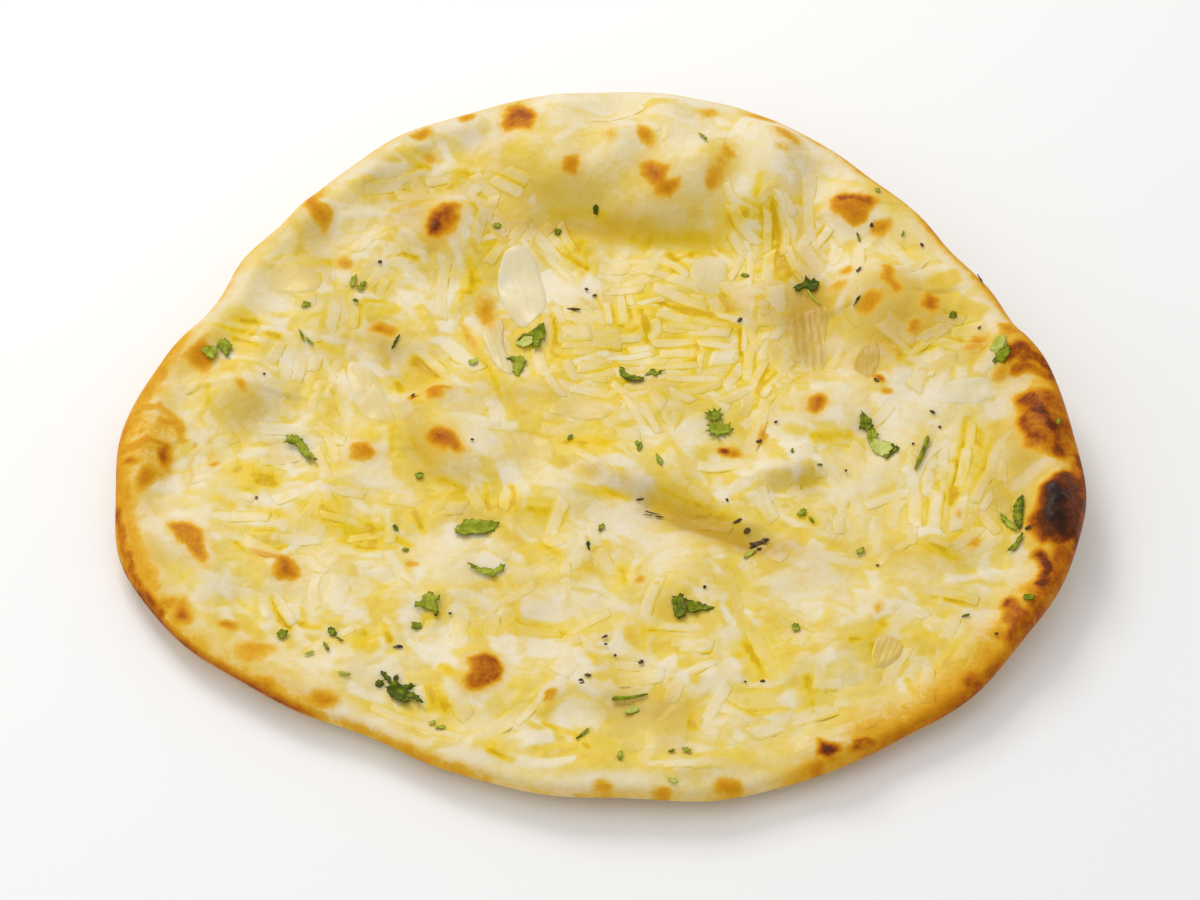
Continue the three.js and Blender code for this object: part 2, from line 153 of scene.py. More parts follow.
def bubbleRise(x, y):
    rise = 0 * x
    for middleX, middleY, long, wide, turn, height, front, blunt in bubbles:
        along, across = alongAcross(x, y, middleX, middleY, turn)
        across = np.where(y < middleY, across / front, across)
        rise = rise + height * np.exp(-(((along / long) ** 2 + (across / wide) ** 2) ** blunt))
    return rise


def furrowDepth(x, y):
    deepest = 0 * x
    for ax, ay, bx, by, width, depth in furrows:
        deepest = np.maximum(deepest, depth * np.exp(-((lineDistance(x, y, ax, ay, bx, by) / width) ** 2)))
    return deepest


def swell(x, y):
    total = 0 * x
    for i, (length, height) in enumerate(breadForm["swells"]):
        along, across = alongAcross(x, y, 0, 0, math.degrees(i * goldenAngle))
        total = total + height * np.sin(along / length * 2 * math.pi) * np.cos(across / length * 2 * math.pi)
    return total


def topHeight(x, y):
    share, inset = shareOf(x, y), insetOf(x, y)
    thin = easeBetween(share, *breadForm["thinning"])
    thickness = breadForm["middleThickness"] * (1 - thin) + breadForm["rimThickness"] * thin
    fromRoll = (inset - breadForm["rollInset"]) / breadForm["rollWidth"]
    rolled = breadForm["rollRise"] * np.exp(-(fromRoll ** 2))
    uneven = (swell(x, y) - furrowDepth(x, y)) * easeBetween(inset, 0, breadForm["smoothRim"])
    return bottomHeight(x, y) + thickness + rolled + bubbleRise(x, y) + uneven


# The fine mesh starts from the same middle as the solid in the frame.
def middleOfOutline():
    angle = np.linspace(0, 2 * math.pi, 1440, endpoint=False)
    x, y = rimRadius(angle) * np.cos(angle), rimRadius(angle) * np.sin(angle)
    return np.array([(x.min() + x.max()) / 2, (y.min() + y.max()) / 2, 0])


frameShift = -middleOfOutline()


def inFrame(points):  # millimetres from the bread's centre to metres in the frame
    return (np.asarray(points, float) + frameShift) / 1000


# Smooth random patterns over the bread: a grid of fixed draws, blended between its points.
patternRules = {"seed": 7, "draws": 128, "start": (31.7, 47.1), "apart": (17.3, 29.9)}
patternTable = np.random.default_rng(patternRules["seed"]).random((patternRules["draws"],) * 2)


def pattern(x, y, cell, number=0):  # 0 to 1; each number gives another pattern
    size, (startX, startY), (apartX, apartY) = (patternRules[key] for key in ("draws", "start", "apart"))
    u, v = x / cell + startX + apartX * number, y / cell + startY + apartY * number
    i, j = np.floor(u).astype(int), np.floor(v).astype(int)
    fu, fv = easeBetween(u - i, 0, 1), easeBetween(v - j, 0, 1)

    def corner(a, b):
        return patternTable[(i + a) % size, (j + b) % size]

    low = corner(0, 0) * (1 - fu) + corner(1, 0) * fu
    high = corner(0, 1) * (1 - fu) + corner(1, 1) * fu
    return low * (1 - fv) + high * fv


def softPattern(x, y, cell, number=0):  # three sizes of the pattern, the finer ones weaker
    finer = 0.5 * pattern(x, y, cell / 2, number + 3) + 0.25 * pattern(x, y, cell / 4, number + 5)
    return (pattern(x, y, cell, number) + finer) / 1.75


# Where the bread browned in the oven. Larger spots: heat (1 is dark brown), how much paler the middle is, and
# the outline.
brownShapes = (
    (0.82, 0.1, ((-52.8, -8.2), (-48.2, -7), (-45.2, -9.2), (-42.6, -12.8), (-40.7, -17.2), (-43.6, -17.9),
      (-47.2, -16.4), (-50.3, -13.3), (-52.3, -10.3))),
    (0.7, 0, ((-57.3, 80.6), (-55.3, 85.2), (-53.2, 87.8), (-50.7, 89.8), (-46.1, 89.8), (-46.1, 84.7),
      (-47.1, 79.1), (-50.7, 75.5), (-54.3, 73.6), (-56.8, 76.5))),
    (0.98, 0, ((-57, 80.6), (-54.5, 85), (-51.5, 86.5), (-51, 82), (-50, 78), (-52.5, 74.8), (-54.5, 74.2),
      (-56.6, 76.7))),
    (0.98, 0.24, ((-37.3, -97.7), (-32.7, -95.6), (-28.6, -97.7), (-26, -100.8), (-27.6, -104.4),
      (-30.6, -106.9), (-33.7, -109.3), (-37.3, -107.9), (-38.8, -105.4), (-36.8, -102.3))),
    (0.78, 0, ((68.7, 6.7), (72.5, 7.5), (73.3, 3.7), (72.2, 0.6), (69.1, -0.2), (66.8, 1.7), (67.2, 4.4))),
    (0.72, 0, ((-96.5, -56.6), (-93, -57), (-91.8, -58.9), (-90.7, -62), (-90.3, -65.5), (-92.6, -66.6),
      (-95.3, -65.8), (-97.2, -63.5), (-96.5, -60.5))),
    (0.62, 0, ((14.8, 104.8), (18.4, 106), (24.9, 102.4), (24.3, 97.7), (28.5, 97.1), (27.9, 94.1),
      (24.9, 91.1), (20.8, 91.7), (19, 95.9), (14.8, 99.4))),
    (0.76, 0, ((-26.6, 136.4), (-21.6, 131.2), (-20.4, 125.9), (-22.9, 120), (-26.7, 121.6), (-31.3, 123.1),
      (-32.8, 126.2), (-31.8, 130.3), (-29.8, 133.9))),
    (0.6, 0.1, ((-76.8, -10.8), (-72.1, -10.8), (-69.7, -13.9), (-70.7, -16.9), (-74.1, -17.6),
      (-77.2, -16.6), (-77.5, -13.5))),
    (0.7, 0.15, ((79.7, 90.4), (84.1, 89.3), (89.1, 86.6), (94.1, 84.3), (91.9, 82.1), (90.2, 78.2),
      (86.3, 77.7), (82.4, 81), (79.7, 85.4))),
    (1.1, 0, ((81, 90.4), (87, 88.4), (93, 85.4), (92.4, 83), (87, 85.4), (82, 87.4))),
    (0.36, 0, ((44.4, 113.3), (46.7, 109.4), (48.3, 105), (45.6, 102.8), (42.2, 103.3), (42.8, 108.3))),
    (0.36, 0, ((37.8, 100), (41.1, 101.1), (44.4, 100), (43.3, 97.2), (42.8, 93.9), (38.9, 92.8),
      (37.2, 95))),
    (0.55, 0, ((-53.7, 10), (-51.2, 12.3), (-47.3, 11.7), (-48.6, 8.3), (-50.7, 5.3), (-54.2, 5.3))),
    (0.85, 0, ((-54, 9.4), (-53.6, 11), (-51.2, 12.8), (-46.5, 12.4), (-46.5, 11.2), (-51, 11),
      (-53, 9.2))),
    (0.8, 0.3, ((-131.3, -44.9), (-125.8, -44.9), (-120.4, -48.4), (-118.3, -55.9), (-117.6, -61.4),
      (-121.7, -57.3), (-127.2, -51.8))),
    (0.5, 0, ((-92.2, 95.4), (-92.8, 88.2), (-88.7, 84.6), (-89.8, 79.9), (-91.6, 76.9), (-95.2, 81.1),
      (-98.8, 85.8), (-97.6, 90.6))),
    (0.62, 0, ((-10.5, 106.9), (-6.4, 107.2), (-5.4, 104.2), (-6.8, 101.4), (-10.9, 101.4))),
    (0.55, 0, ((94.3, 57.9), (97.3, 56.9), (98.9, 50.7), (100.4, 45.6), (97.3, 43.5), (93.7, 49.7))),
    (0.7, 0, ((108.3, 44.4), (111.9, 42.8), (110.9, 37.7), (108.3, 34.6), (106.3, 37.7))),
    (0.52, 0, ((-126, 28.4), (-122.4, 22.4), (-124.8, 14.1), (-129.6, 16.5), (-133, 20))),
    (0.75, 0, ((-125.6, 26.6), (-123, 22.4), (-124.6, 17.6), (-126.4, 21))),
    (0.72, 0, ((133.5, 3), (141, 3), (147, 2), (150, -10), (151, -25), (141, -25.5), (134, -20.5),
      (132.6, -8))),
    (1.1, 0, ((147, -30), (141, -32.5), (137, -36), (134.6, -42), (132.6, -48), (132.6, -53), (135, -58),
      (140, -61), (147, -58), (151, -45), (151, -34))),
    (1.46, 0, ((139, -35.6), (143.4, -36.4), (146, -44), (145, -53), (140.4, -59), (136.6, -54.6),
      (135, -48.6), (136.6, -41))),
    (0.8, 0.1, ((122.2, -78.9), (127, -84.4), (123.6, -89.9), (120.1, -87.2))),
    (1.5, 0, ((64.6, -128), (69.4, -130.4), (67.6, -133.3), (64, -132.2))),
    (1.15, 0, ((72.4, -131), (74.2, -128), (78.3, -125.6), (80.7, -126.2), (75.4, -131))),
    (0.9, 0, ((132.2, 16.4), (138.8, 17.6), (142.9, 12.9), (146.5, 5.7), (141.1, 10.5), (135.2, 10.5))),
    (0.2, 0, ((-148, -2), (-141, 1), (-135, -1), (-131, -8), (-131, -20), (-135, -29), (-143, -33),
      (-149, -24))),
    (0.55, 0, ((129.8, 28.4), (135.2, 29.6), (137, 23.6), (132.8, 21.2), (129.2, 23.6))),
)

# Smaller spots by heat: x, y, half length, half width and, where it has one, the turn. Two of them, left of
# the large petal and of the curved petal, are painted shade cast by those petals.
brownSpotsAndShade = {
    1.2: ((40.9, -13.2, 2.2, 1.8),),
    0.95: ((148, -36, 2.6, 14, -4), (139, -72, 3, 7, 22)),
    0.9: ((91, 14, 2.2, 1.5, -30), (110, -107, 4, 4, 30), (149, -50, 2.4, 10, 6)),
    0.86: ((-135, -18.5, 2.3, 5.4, 8),),
    0.85: ((139, 24, 3, 7, 24), (141, -64, 3, 8, 14), (129, -87, 4, 8, 38)),
    0.8: ((-58, 7, 1.8, 1.2),),
    0.76: ((142.4, -4, 3, 4),),
    0.72: ((-123.3, -80.6, 3.4, 5, 25),),
    0.7: ((119, -99, 4, 7, -30),),
    0.68: ((-139.6, -28, 2.8, 5.6, -12), (-145, -22.5, 4, 2.4, -8)),
    0.6: ((-45, 130, 3, 2.2, 20), (-70, 40, 4.5, 3.2, 15), (90, 105, 12, 2.5, -48), (44.2, -13.6, 2.8, 2),
      (-128, -76, 3.4, 3.2), (-108.8, -84.1, 3.4, 2.2, 30), (-97, -106, 4, 3.4, -10),
      (-79, -112, 5.2, 3.6, -10), (38, -143, 4.2, 2.6, 10), (120, -92, 3.5, 5, 30)),
    0.58: ((17.5, 115.5, 2.6, 5.5, 25), (133, -78, 5, 9, 30)),
    0.55: ((-60, 121, 3.5, 2.5, 30), (82, 113, 6, 2.2, -42), (95.2, 74.9, 3.4, 3), (103.7, 31.5, 3, 3),
      (19, -145, 3, 1.6), (64, -136, 4.5, 3.2, 20), (98, -117, 6, 3, 40)),
    0.52: ((2.5, -143, 3.2, 2),),
    0.5: ((-84, 66, 3, 2.5), (58, 127, 8, 2, -28), (90, 43, 4.5, 3.2, 10), (93, 9, 2.2, 1.8),
      (53, -6, 2.2, 1.6), (-138, 14, 2.4, 3, -20), (-136, -4.6, 3.4, 1.8, -15), (-113, 8, 1.8, 2.8, 10),
      (-120, -20, 1.8, 1.5), (-54, -128, 2.6, 2), (-13, -111, 2.4, 1.8, 20), (88, -123, 3, 3),
      (123, 23, 3.6, 4), (129, 11, 3, 2)),
    0.46: ((-145, -34, 2.4, 5, 4), (-146, -5, 2, 3)),
    0.45: ((66, 116, 6, 3.5, -35), (83, 60, 3, 2.6)),
    # the first of these is painted shade left of the large petal, not browning
    0.42: ((-36, 50, 3.6, 8, 12), (-136.6, -25, 3, 2.6), (-143, -11, 2, 3), (-101, -56, 4.5, 1.6, -4),
      (-101, -94, 7, 5, 8), (14, -66, 2.2, 1.8, 30), (115, -54, 3, 2.2, 40)),
    0.38: ((80, 54, 3, 2.6), (-56, -60, 2.4, 2.2)),
    0.36: ((85, -78, 2.4, 2.2),),
    0.35: ((-57, 112, 3, 2.5), (112, -43, 2.2, 1.4)),
    # painted shade beside the curved petal, not browning
    0.34: ((-41, 36, 1.8, 9, 20),),
    0.3: ((5, 115, 3, 4), (39, 131, 4, 2.5), (42.4, 101.6, 4, 3, 20), (64, 109, 3, 2.4)),
}

# The toasted edge: degrees from +X and back, how far in it reaches, and heat.
toastedEdge = (
    (-62, 12, 9, 0.8), (12, 38, 3.5, 0.95), (38, 60, 3, 0.85), (60, 96, 1.6, 0.55), (96, 140, 2.2, 0.5),
    (140, 166, 3, 0.42), (166, 206, 9, 0.6), (200, 236, 1.5, 1.05), (200, 236, 8, 0.38),
    (236, 258, 2.2, 0.5), (258, 290, 1.6, 0.26), (290, 312, 6, 0.52),
)
# Browned streaks along the rim: points of the line, half width and heat.
brownStreaks = (
    (((-141, 22), (-145, 6), (-149, -12), (-150, -28), (-147, -42)), 5, 0.36),
    (((-139, 17), (-142, 9), (-144, 2)), 2.4, 0.5), (((-148, -3), (-143, 0.4), (-138.6, 0.8)), 1.6, 0.5),
    (((-138.6, 0.8), (-134, -3), (-131, -8), (-130, -11)), 1.6, 0.42),
    (((-138, -4), (-133, -5.4)), 1.5, 0.5), (((-148, -18), (-143, -16.4), (-140.4, -13.8)), 1.7, 0.58),
    (((-140.6, -13.8), (-137, -14.4), (-134.6, -16.4)), 1.2, 0.6),
    (((-126, -12), (-126.4, -26)), 0.8, 0.24), (((-148.6, -6), (-150.4, -24), (-149, -38)), 1.5, 0.66),
    (((-149, -38), (-145, -52), (-139, -66), (-130, -79)), 1.3, 0.95),
    (((-146, -40), (-141, -56), (-134, -70)), 4, 0.42),
    (((132, 15), (137, 17), (142, 13), (146, 8)), 2.2, 1.1), (((133, 11), (139, 9.6), (145, 6)), 1.5, 0.9),
    (((136, -0.5), (139, -6), (140.5, -10)), 2.6, 1.2),
    (((134.6, -8), (135.4, -17), (139, -19)), 1.8, 1.05),
    (((141, -14), (144, -18), (143.6, -23.5)), 2.4, 1.2),
    (((147.4, 0), (149.6, -12), (150.4, -24)), 1.6, 0.85),
    (((150.6, -24), (151, -36), (149.4, -50), (146, -60)), 2.2, 1.15),
    (((134, -62), (136, -68), (133.6, -73)), 2.2, 1.2), (((141, -62), (138, -72), (131, -83)), 3.4, 0.95),
    (((124, -79), (126, -86), (122, -92)), 2.4, 1), (((133, -84), (122, -98), (110, -110)), 2.6, 0.9),
)
spotEdge = {
    "drift": 1.6, "driftCell": 5, "outside": 2.0, "inside": 3.6, "paleFrom": 0.6, "paleIn": 2.6, "glow": 5,
    "glowHeat": 0.24, "core": 1.3, "ovalCore": 1.15, "patchCell": 11, "arcEase": 5, "fade": 1.4,
}


def polygonInset(x, y, corners):  # how far inside an outline a point lies; less than 0 is outside
    within = np.zeros(x.shape, bool)
    closed = corners + corners[:1]
    for (ax, ay), (bx, by) in zip(closed, closed[1:]):
        if ay != by:
            within ^= ((ay > y) != (by > y)) & (x < ax + (y - ay) * (bx - ax) / (by - ay))
    nearest = pathDistance(x, y, closed)
    return np.where(within, nearest, -nearest)


def heatAt(x, y):
    wx = x + spotEdge["drift"] * (softPattern(x, y, spotEdge["driftCell"], 1) - 0.5) * 2
    wy = y + spotEdge["drift"] * (softPattern(x, y, spotEdge["driftCell"], 2) - 0.5) * 2
    heat = 0 * x
    for amount, pale, corners in brownShapes:
        low, high = np.min(corners, 0) - 6, np.max(corners, 0) + 6
        near = (wx > low[0]) & (wx < high[0]) & (wy > low[1]) & (wy < high[1])
        inset = polygonInset(wx[near], wy[near], corners)
        fall = 0.62 * easeBetween(inset, -spotEdge["outside"], 1.2)
        fall += 0.38 * easeBetween(inset, -0.5, spotEdge["inside"])
        paler = 1 - pale * easeBetween(inset, spotEdge["paleFrom"], spotEdge["paleIn"])
        glow = spotEdge["glowHeat"] * min(amount, 1) * easeBetween(inset, -spotEdge["glow"], 0)
        heat[near] = np.maximum(heat[near], np.maximum(spotEdge["core"] * amount * fall * paler, glow))
    for *oval, amount in rowsOf(brownSpotsAndShade):
        fall = 1 - easeBetween(ovalDistance(wx, wy, *oval), 0, 1.65)
        heat = np.maximum(heat, spotEdge["ovalCore"] * amount * fall)
    for line, wide, amount in brownStreaks:
        heat = np.maximum(heat, amount * (1 - easeBetween(pathDistance(wx, wy, line) / wide, 0.3, 1.7)))
    angle = np.degrees(np.arctan2(y, x))
    inward = np.maximum(insetOf(x, y), 0)
    patchy = 0.7 + 0.6 * softPattern(x, y, spotEdge["patchCell"], 4)
    for start, end, reach, amount in toastedEdge:
        off = np.abs((angle - (start + end) / 2 + 180) % 360 - 180) - (end - start) / 2
        arc = 1 - easeBetween(off, -spotEdge["arcEase"], spotEdge["arcEase"])
        heat = np.maximum(heat, amount * arc * patchy * np.exp(-spotEdge["fade"] * inward / reach))
    return heat


# Melted butter that lies in hollows, by amount: x, y, half length, half width and turn. The strongest rows,
# at the foot of the back ridge, in the furrow and beside bubbles, also paint the golden shade that falls
# there.
butterAndShadePools = {
    0.95: ((8, 84, 26, 5, -6),),
    0.9: ((34, 80, 12, 6, -5), (36, -40, 14, 5, -32)),
    0.8: ((-6, 78, 6, 5), (-107, -25, 10, 6, -12), (-16, -39, 7, 4, -10), (22, -33, 7, 4, -30)),
    0.75: ((44, 84, 8, 5, 10), (-55, 22, 8, 8), (-62, -8, 4, 12, 10), (2, -30, 9, 2.5, -8)),
    0.72: ((-117, 40, 10, 5, -10), (-2, -9, 9, 5)),
    0.7: ((-42, 62, 3, 9, 5), (-72, -46, 14, 7, -10)),
    0.62: ((60, 78, 7, 12), (104, -56, 7, 4, -20), (-68, -88, 6, 4), (-46, -112, 5, 5)),
    0.6: ((-10, 92, 14, 5, 10), (-27, 112, 7, 4, 10), (-64, 16, 4, 5), (-85, -36, 10, 5), (-55, -38, 8, 5),
      (-42, -33, 8, 4, 10), (-28, -36, 7, 5), (110, -30, 6, 10), (45, -92, 8, 5), (65, -27, 6, 2.5, 25)),
    0.55: ((105, -100, 10, 7, 40), (-124, 4, 7, 3, 20)),
    0.5: ((34, 50, 16, 8, -10), (-127, 33, 6, 4, 30), (75, -8, 9, 4), (120, -12, 8, 14), (52, -100, 7, 5),
      (63, -108, 5, 7), (15, -122, 13, 10), (-62, -85, 3, 3), (-28, -130, 6, 4), (-128, -62, 12, 5, -45)),
    0.45: ((-50, -26, 9, 4, -20), (-100, -40, 10, 3), (110, -76, 6, 4), (72, 38, 7, 12, 10)),
    0.42: ((15, 43, 22, 14),),
    0.4: ((25, 28, 22, 10), (30, 68, 14, 6), (-46, 108, 6, 4), (55, 97, 6, 6), (4, -14, 12, 4),
      (-12, 30, 6, 7), (33, 32, 12, 6), (22, 14, 14, 6), (8, -64, 5, 4), (20, -87, 8, 5), (82, -88, 8, 6),
      (-68, 60, 5, 8), (96, 20, 8, 5), (118, 30, 8, 3, 40)),
    0.35: ((-18, -84, 10, 5), (37, -67, 7, 5), (0, -138, 14, 3), (-104, -75, 10, 4, -50), (-90, 40, 14, 6)),
    0.3: ((-15, 112, 20, 4, 5),),
    0.25: ((-80, 104, 10, 3, 35), (-90, 12, 8, 14), (60, -60, 20, 10)),
}


# Butter along the slivers' edges and in fine creases, by amount: one end, the run from it and half width. The
# strongest rows, along the foot of the back ridge, also paint the golden shade there.
butterAndShadeStreaks = {
    1.15: ((6, 86, 10, -5, 4), (16, 80, 14, 2, 3.2)),
    1.1: ((0, 92, 8, -8, 2.5),),
    1.05: ((30, 82, 12, 0, 3.2),),
    1: ((-63, -84, 2, -6, 1.3), (-70, -44, 2, -8, 3), (-124, 8, 1, -6, 1.5), (-58, 28, 6, -8, 3),
      (-60, -6, 8, -12, 2.5), (-20, -38, 7, -1, 2)),
    0.75: ((0, 33, 10, 1, 1), (48, 20, 2, 10, 1), (47, 30, 1, 10, 1), (-16, -53, 4, -1, 2),
      (14, -86, 8, 0, 1), (-88, -82, 6, -2, 1.2), (-97, -72, 3, -8, 1.2), (-118, -33, 5, -3, 2),
      (-50, 102, 6, 4, 3), (-30, 114, 6, -6, 2), (113, 36, 5, -2, 1), (-96, 66, 12, 0, 1.8)),
    0.85: ((33, 35, 0, -8, 1.5), (53, 14, 7, 8, 1.2), (70, -8, 10, 0, 2.5), (117, -20, -3, -8, 1),
      (82, -88, 4, 4, 2), (91, -104, 4, -11, 1.2), (103, -100, 5, 0, 3), (44, -90, 4, -8, 2),
      (40, -112, 6, -5, 1.5), (28, -116, 0, -5, 2), (8, -60, 1, -6, 2.5), (-30, -131, 6, -3, 1.5),
      (-45, -100, 7, -4, 2), (-70, -90, 4, -2, 3), (-94, -80, 3, -4, 1.2), (-85, -38, 3, -4, 3),
      (-115, 38, 5, -1, 2), (-34, -28, 1, -9, 1.2), (-26, -28, 2, -10, 1), (20, -28, 14, -7, 1.2),
      (-14, 92, 12, 0, 3.4), (-6, 88, 2, -10, 2.5), (-3, 76, 0, -6, 1.2), (23, 82, 3, -8, 1.5),
      (44, 87, 12, -1, 2), (60, 88, 2, -10, 3)),
    0.8: ((-42, 70, 3, -8, 2), (-43, 42, 5, -12, 2), (-14, 46, 1, -7, 2), (-13, 39, -1, -9, 1.5),
      (20, 54, 10, -4, 1.2), (38, 47, 6, -3, 1.5), (42, 58, 2, -8, 3), (60, 4, 3, -1, 1.5),
      (-14, -120, 8, -4, 1.2), (-6, -124, 4, -6, 1.2), (-78, -50, 8, -3, 2), (-117, 30, 7, -3, 2.5),
      (-72, -5, 1, -2, 2), (-50, -24, 8, -5, 1.5), (-46, -31, 4, 1, 1.5), (26, 74, 0, -10, 1.2),
      (56, 98, -2, -6, 2), (64, 70, 4, -8, 1), (-64, 70, 4, -1, 1.5), (102, 26, 16, -1, 1.5),
      (-90, 30, 6, -2, 2), (-95, -52, -4, -5, 1.2)),
    0.95: ((30, 50, 8, -3, 2), (121, -8, 0, -8, 1.5), (112, -30, -2, -7, 2), (102, -55, 7, -5, 1.8),
      (106, -76, 6, 0, 1.5), (-47, -108, 3, -5, 3.5), (-112, -23, 12, -5, 2.5), (-105, -47, 6, 0, 1.5),
      (-126, 34, 14, -1, 1.5), (-107, 33, 4, -1, 1.5), (-64, 18, 2, -6, 2), (-33, -37, 7, 2, 2),
      (-9, -8, 11, -2, 2.5), (-11, 76, 6, -4, 1.5), (60, 72, 4, -8, 3)),
    0.9: ((-41, 66, -1, -9, 2.5), (14, 50, 3, -8, 2), (82, -90, 0, -6, 1.5), (62, -104, 1, -8, 1.5),
      (-60, -48, 3, -2, 2), (-56, -37, 3, -7, 2), (-110, -27, 8, -2, 1.2), (-58, 5, 6, -2, 1.5),
      (2, -28, 8, -3, 1.3), (94, 30, 4, -8, 2)),
    0.7: ((-38, 30, 5, -10, 1.5), (-14, 30, 4, -3, 1.5), (17, 42, 0, -6, 1.5), (16, 48, 4, -10, 1),
      (10, 58, 2, -12, 0.8), (44, 42, 6, -4, 2), (52, 10, 2, 10, 1), (118, -28, 4, 4, 1),
      (113, -20, -1, -10, 1), (82, -98, 6, 2, 1), (76, -90, 6, 2, 2), (-18, -83, 8, -3, 3),
      (-88, -76, 2, -6, 1), (-110, -52, 4, -4, 1.2), (-66, -2, 6, -6, 1), (26, 72, 6, 4, 1.2),
      (104, 30, 4, -3, 1), (98, 22, 6, 2, 1), (-70, 52, -6, -2, 1)),
    0.65: ((-24, -74, 1, -12, 1.5), (-62, 110, 4, -1, 2)),
    0.6: ((-44, 58, 0, -14, 1), (-33, 20, 3, -8, 2), (5, 58, 2, -14, 0.8), (54, 4, 6, 6, 1),
      (74, -10, 6, -2, 1.5), (48, -98, 8, 4, 1), (14, -84, 1, -8, 1), (24, -88, 9, -4, 1),
      (33, -92, 1, -5, 1), (-12, -140, 20, -1, 1.2), (72, 76, 4, 4, 1.2), (-36, 108, 14, -10, 1),
      (112, 42, 6, 2, 1.2), (-107, 62, 3, 4, 1), (-78, 48, -1, -8, 2)),
    0.5: ((-2, 38, 8, 0, 0.9), (3, 52, 1, -12, 0.8), (-84, 28, 4, -6, 1), (64, -38, 4, -6, 3)),
    0.45: ((-78, 94, 10, 2, 3),),
}


def streakAt(x, y):
    amount = 0 * x
    for startX, startY, runX, runY, width, strength in rowsOf(butterAndShadeStreaks):
        away = lineDistance(x, y, startX, startY, startX + runX, startY + runY) / width
        amount = np.maximum(amount, strength * np.exp(-(away ** 2)))
    return amount


butterSpread = {
    "film": (0.02, 0.52), "filmCell": 9, "onCream": 1.15, "pool": 1.05, "drift": 1.6, "driftCell": 5,
}


def butterAt(x, y):  # a thin film, the pools and the streaks
    cell, drift = butterSpread["driftCell"], butterSpread["drift"]
    film = between(butterSpread["film"], softPattern(x, y, butterSpread["filmCell"], 6))
    amount = film * (butterSpread["onCream"] - creamAt(x, y))
    for *oval, strength in rowsOf(butterAndShadePools):
        away = ovalDistance(x, y, *oval) / butterSpread["pool"]
        amount = np.maximum(amount, strength * np.exp(-(away ** 2)))
    driftX, driftY = (drift * (softPattern(x, y, cell, number) - 0.5) for number in (21, 22))
    return np.maximum(amount, streakAt(x + driftX, y + driftY))


# Smooth places where no sliver lies, by how bare they are: x, y, half length, half width and turn.
smoothPlaces = {
    1: ((20, 84, 28, 7, -4), (-52, 84, 12, 11), (88, 83, 12, 10, -20), (-46, -10, 18, 14, -25),
      (-53, 9, 11, 7, 15), (70, 5, 14, 11), (-125, -52, 14, 10, -50), (-33, -102, 9, 8), (-95, -62, 7, 6),
      (-75, -14, 6, 6), (-94, 86, 9, 11), (-27, 127, 10, 8), (-101, -93, 10, 8)),
    0.95: ((95, 48, 18, 13, -40),),
    0.9: ((-10, 92, 14, 6), (52, 106, 14, 15, -20), (-70, 40, 6, 5), (-13, 61, 14, 9, -10),
      (-125, 24, 9, 9)),
    0.85: ((-113, 6, 14, 12, 60), (-110, 50, 12, 10), (8, -40, 14, 9)),
    0.8: ((-12, 108, 26, 24), (22, 105, 24, 26), (8, 63, 9, 5), (-90, 74, 9, 6, 10), (-14, -22, 18, 8, -10),
      (25, -50, 14, 6), (-86, -12, 12, 6), (-20, -92, 12, 7), (-15, -74, 12, 7)),
    0.75: ((10, 138, 34, 7, -3), (-60, 55, 10, 7)),
    0.7: ((37, 70, 6, 6), (-38, 44, 7, 9, 60), (-66, -22, 10, 6), (-46, -48, 14, 6), (-42, -62, 16, 8),
      (100, -6, 8, 12, 20), (60, -65, 14, 8), (-5, -118, 9, 6), (-75, -70, 9, 8), (-85, -96, 10, 7)),
    0.6: ((-96, -32, 8, 5), (108, 6, 12, 10), (26, -82, 9, 6), (55, -8, 9, 6), (104, 74, 10, 7, -40),
      (30, -5, 10, 6), (10, -60, 16, 8), (-118, -30, 8, 8)),
    0.5: ((60, 30, 7, 9), (-2, 12, 12, 6), (-88, 24, 9, 10), (80, 20, 7, 7)),
    0.4: ((36, -66, 9, 6),),
}


bareRim = {
    "band": (7, 13), "narrower": (4, 4.5), "front": (60, 110), "back": (50, 100), "backShare": 0.7,
    "edge": (0.8, 1.15),
}


def bareAt(x, y):  # the rim is bare too, in a band that narrows in front and at the back
    narrow = easeBetween(-y, *bareRim["front"]) + bareRim["backShare"] * easeBetween(y, *bareRim["back"])
    start, end = (wide - less * narrow for wide, less in zip(bareRim["band"], bareRim["narrower"]))
    bare = 1 - easeBetween(insetOf(x, y), start, end)
    for *oval, amount in rowsOf(smoothPlaces):
        bare = np.maximum(bare, amount * (1 - easeBetween(ovalDistance(x, y, *oval), *bareRim["edge"])))
    return bare


print("shape rules ready; the outline's middle is off by", np.round(-frameShift, 3).tolist())


# Onion slivers. The first layer is the one baked on in the frame; then finer ones fill up between them.
sliverRules = {
    "baked": {
        "count": 132, "reach": 0.88, "length": (16, 29), "width": (3.6, 5.8), "bend": 0.3, "channel": 10,
    },
    "fill": {"count": 2600, "reach": 0.93, "length": (8, 20), "width": (2.6, 6), "bend": 0.4, "channel": 30},
    "melted": {
        "count": 2000, "reach": 0.94, "length": (7, 22), "width": (2.6, 7.5), "bend": 0.5, "channel": 60,
    },
    "shake": 5,
    "bareRise": 4.5,
    "clearance": 1.2,
    "dodgeTurn": 40,
    "dodgeTries": 4,
    "hottest": 0.2,  # no sliver lies where the bread is browner than this
    "wettest": 0.5,  # nor where butter has gathered
    "streakReach": 7,  # slivers near a streak of butter follow it
    "streakPull": 0.93,
    "meltedShare": 0.12,  # of the finer slivers that still show where most melted in
    "liftShare": 0.3,
    "sunk": 0.03,
    "meltedSunk": 0.065,
    "barest": 0.85,
}

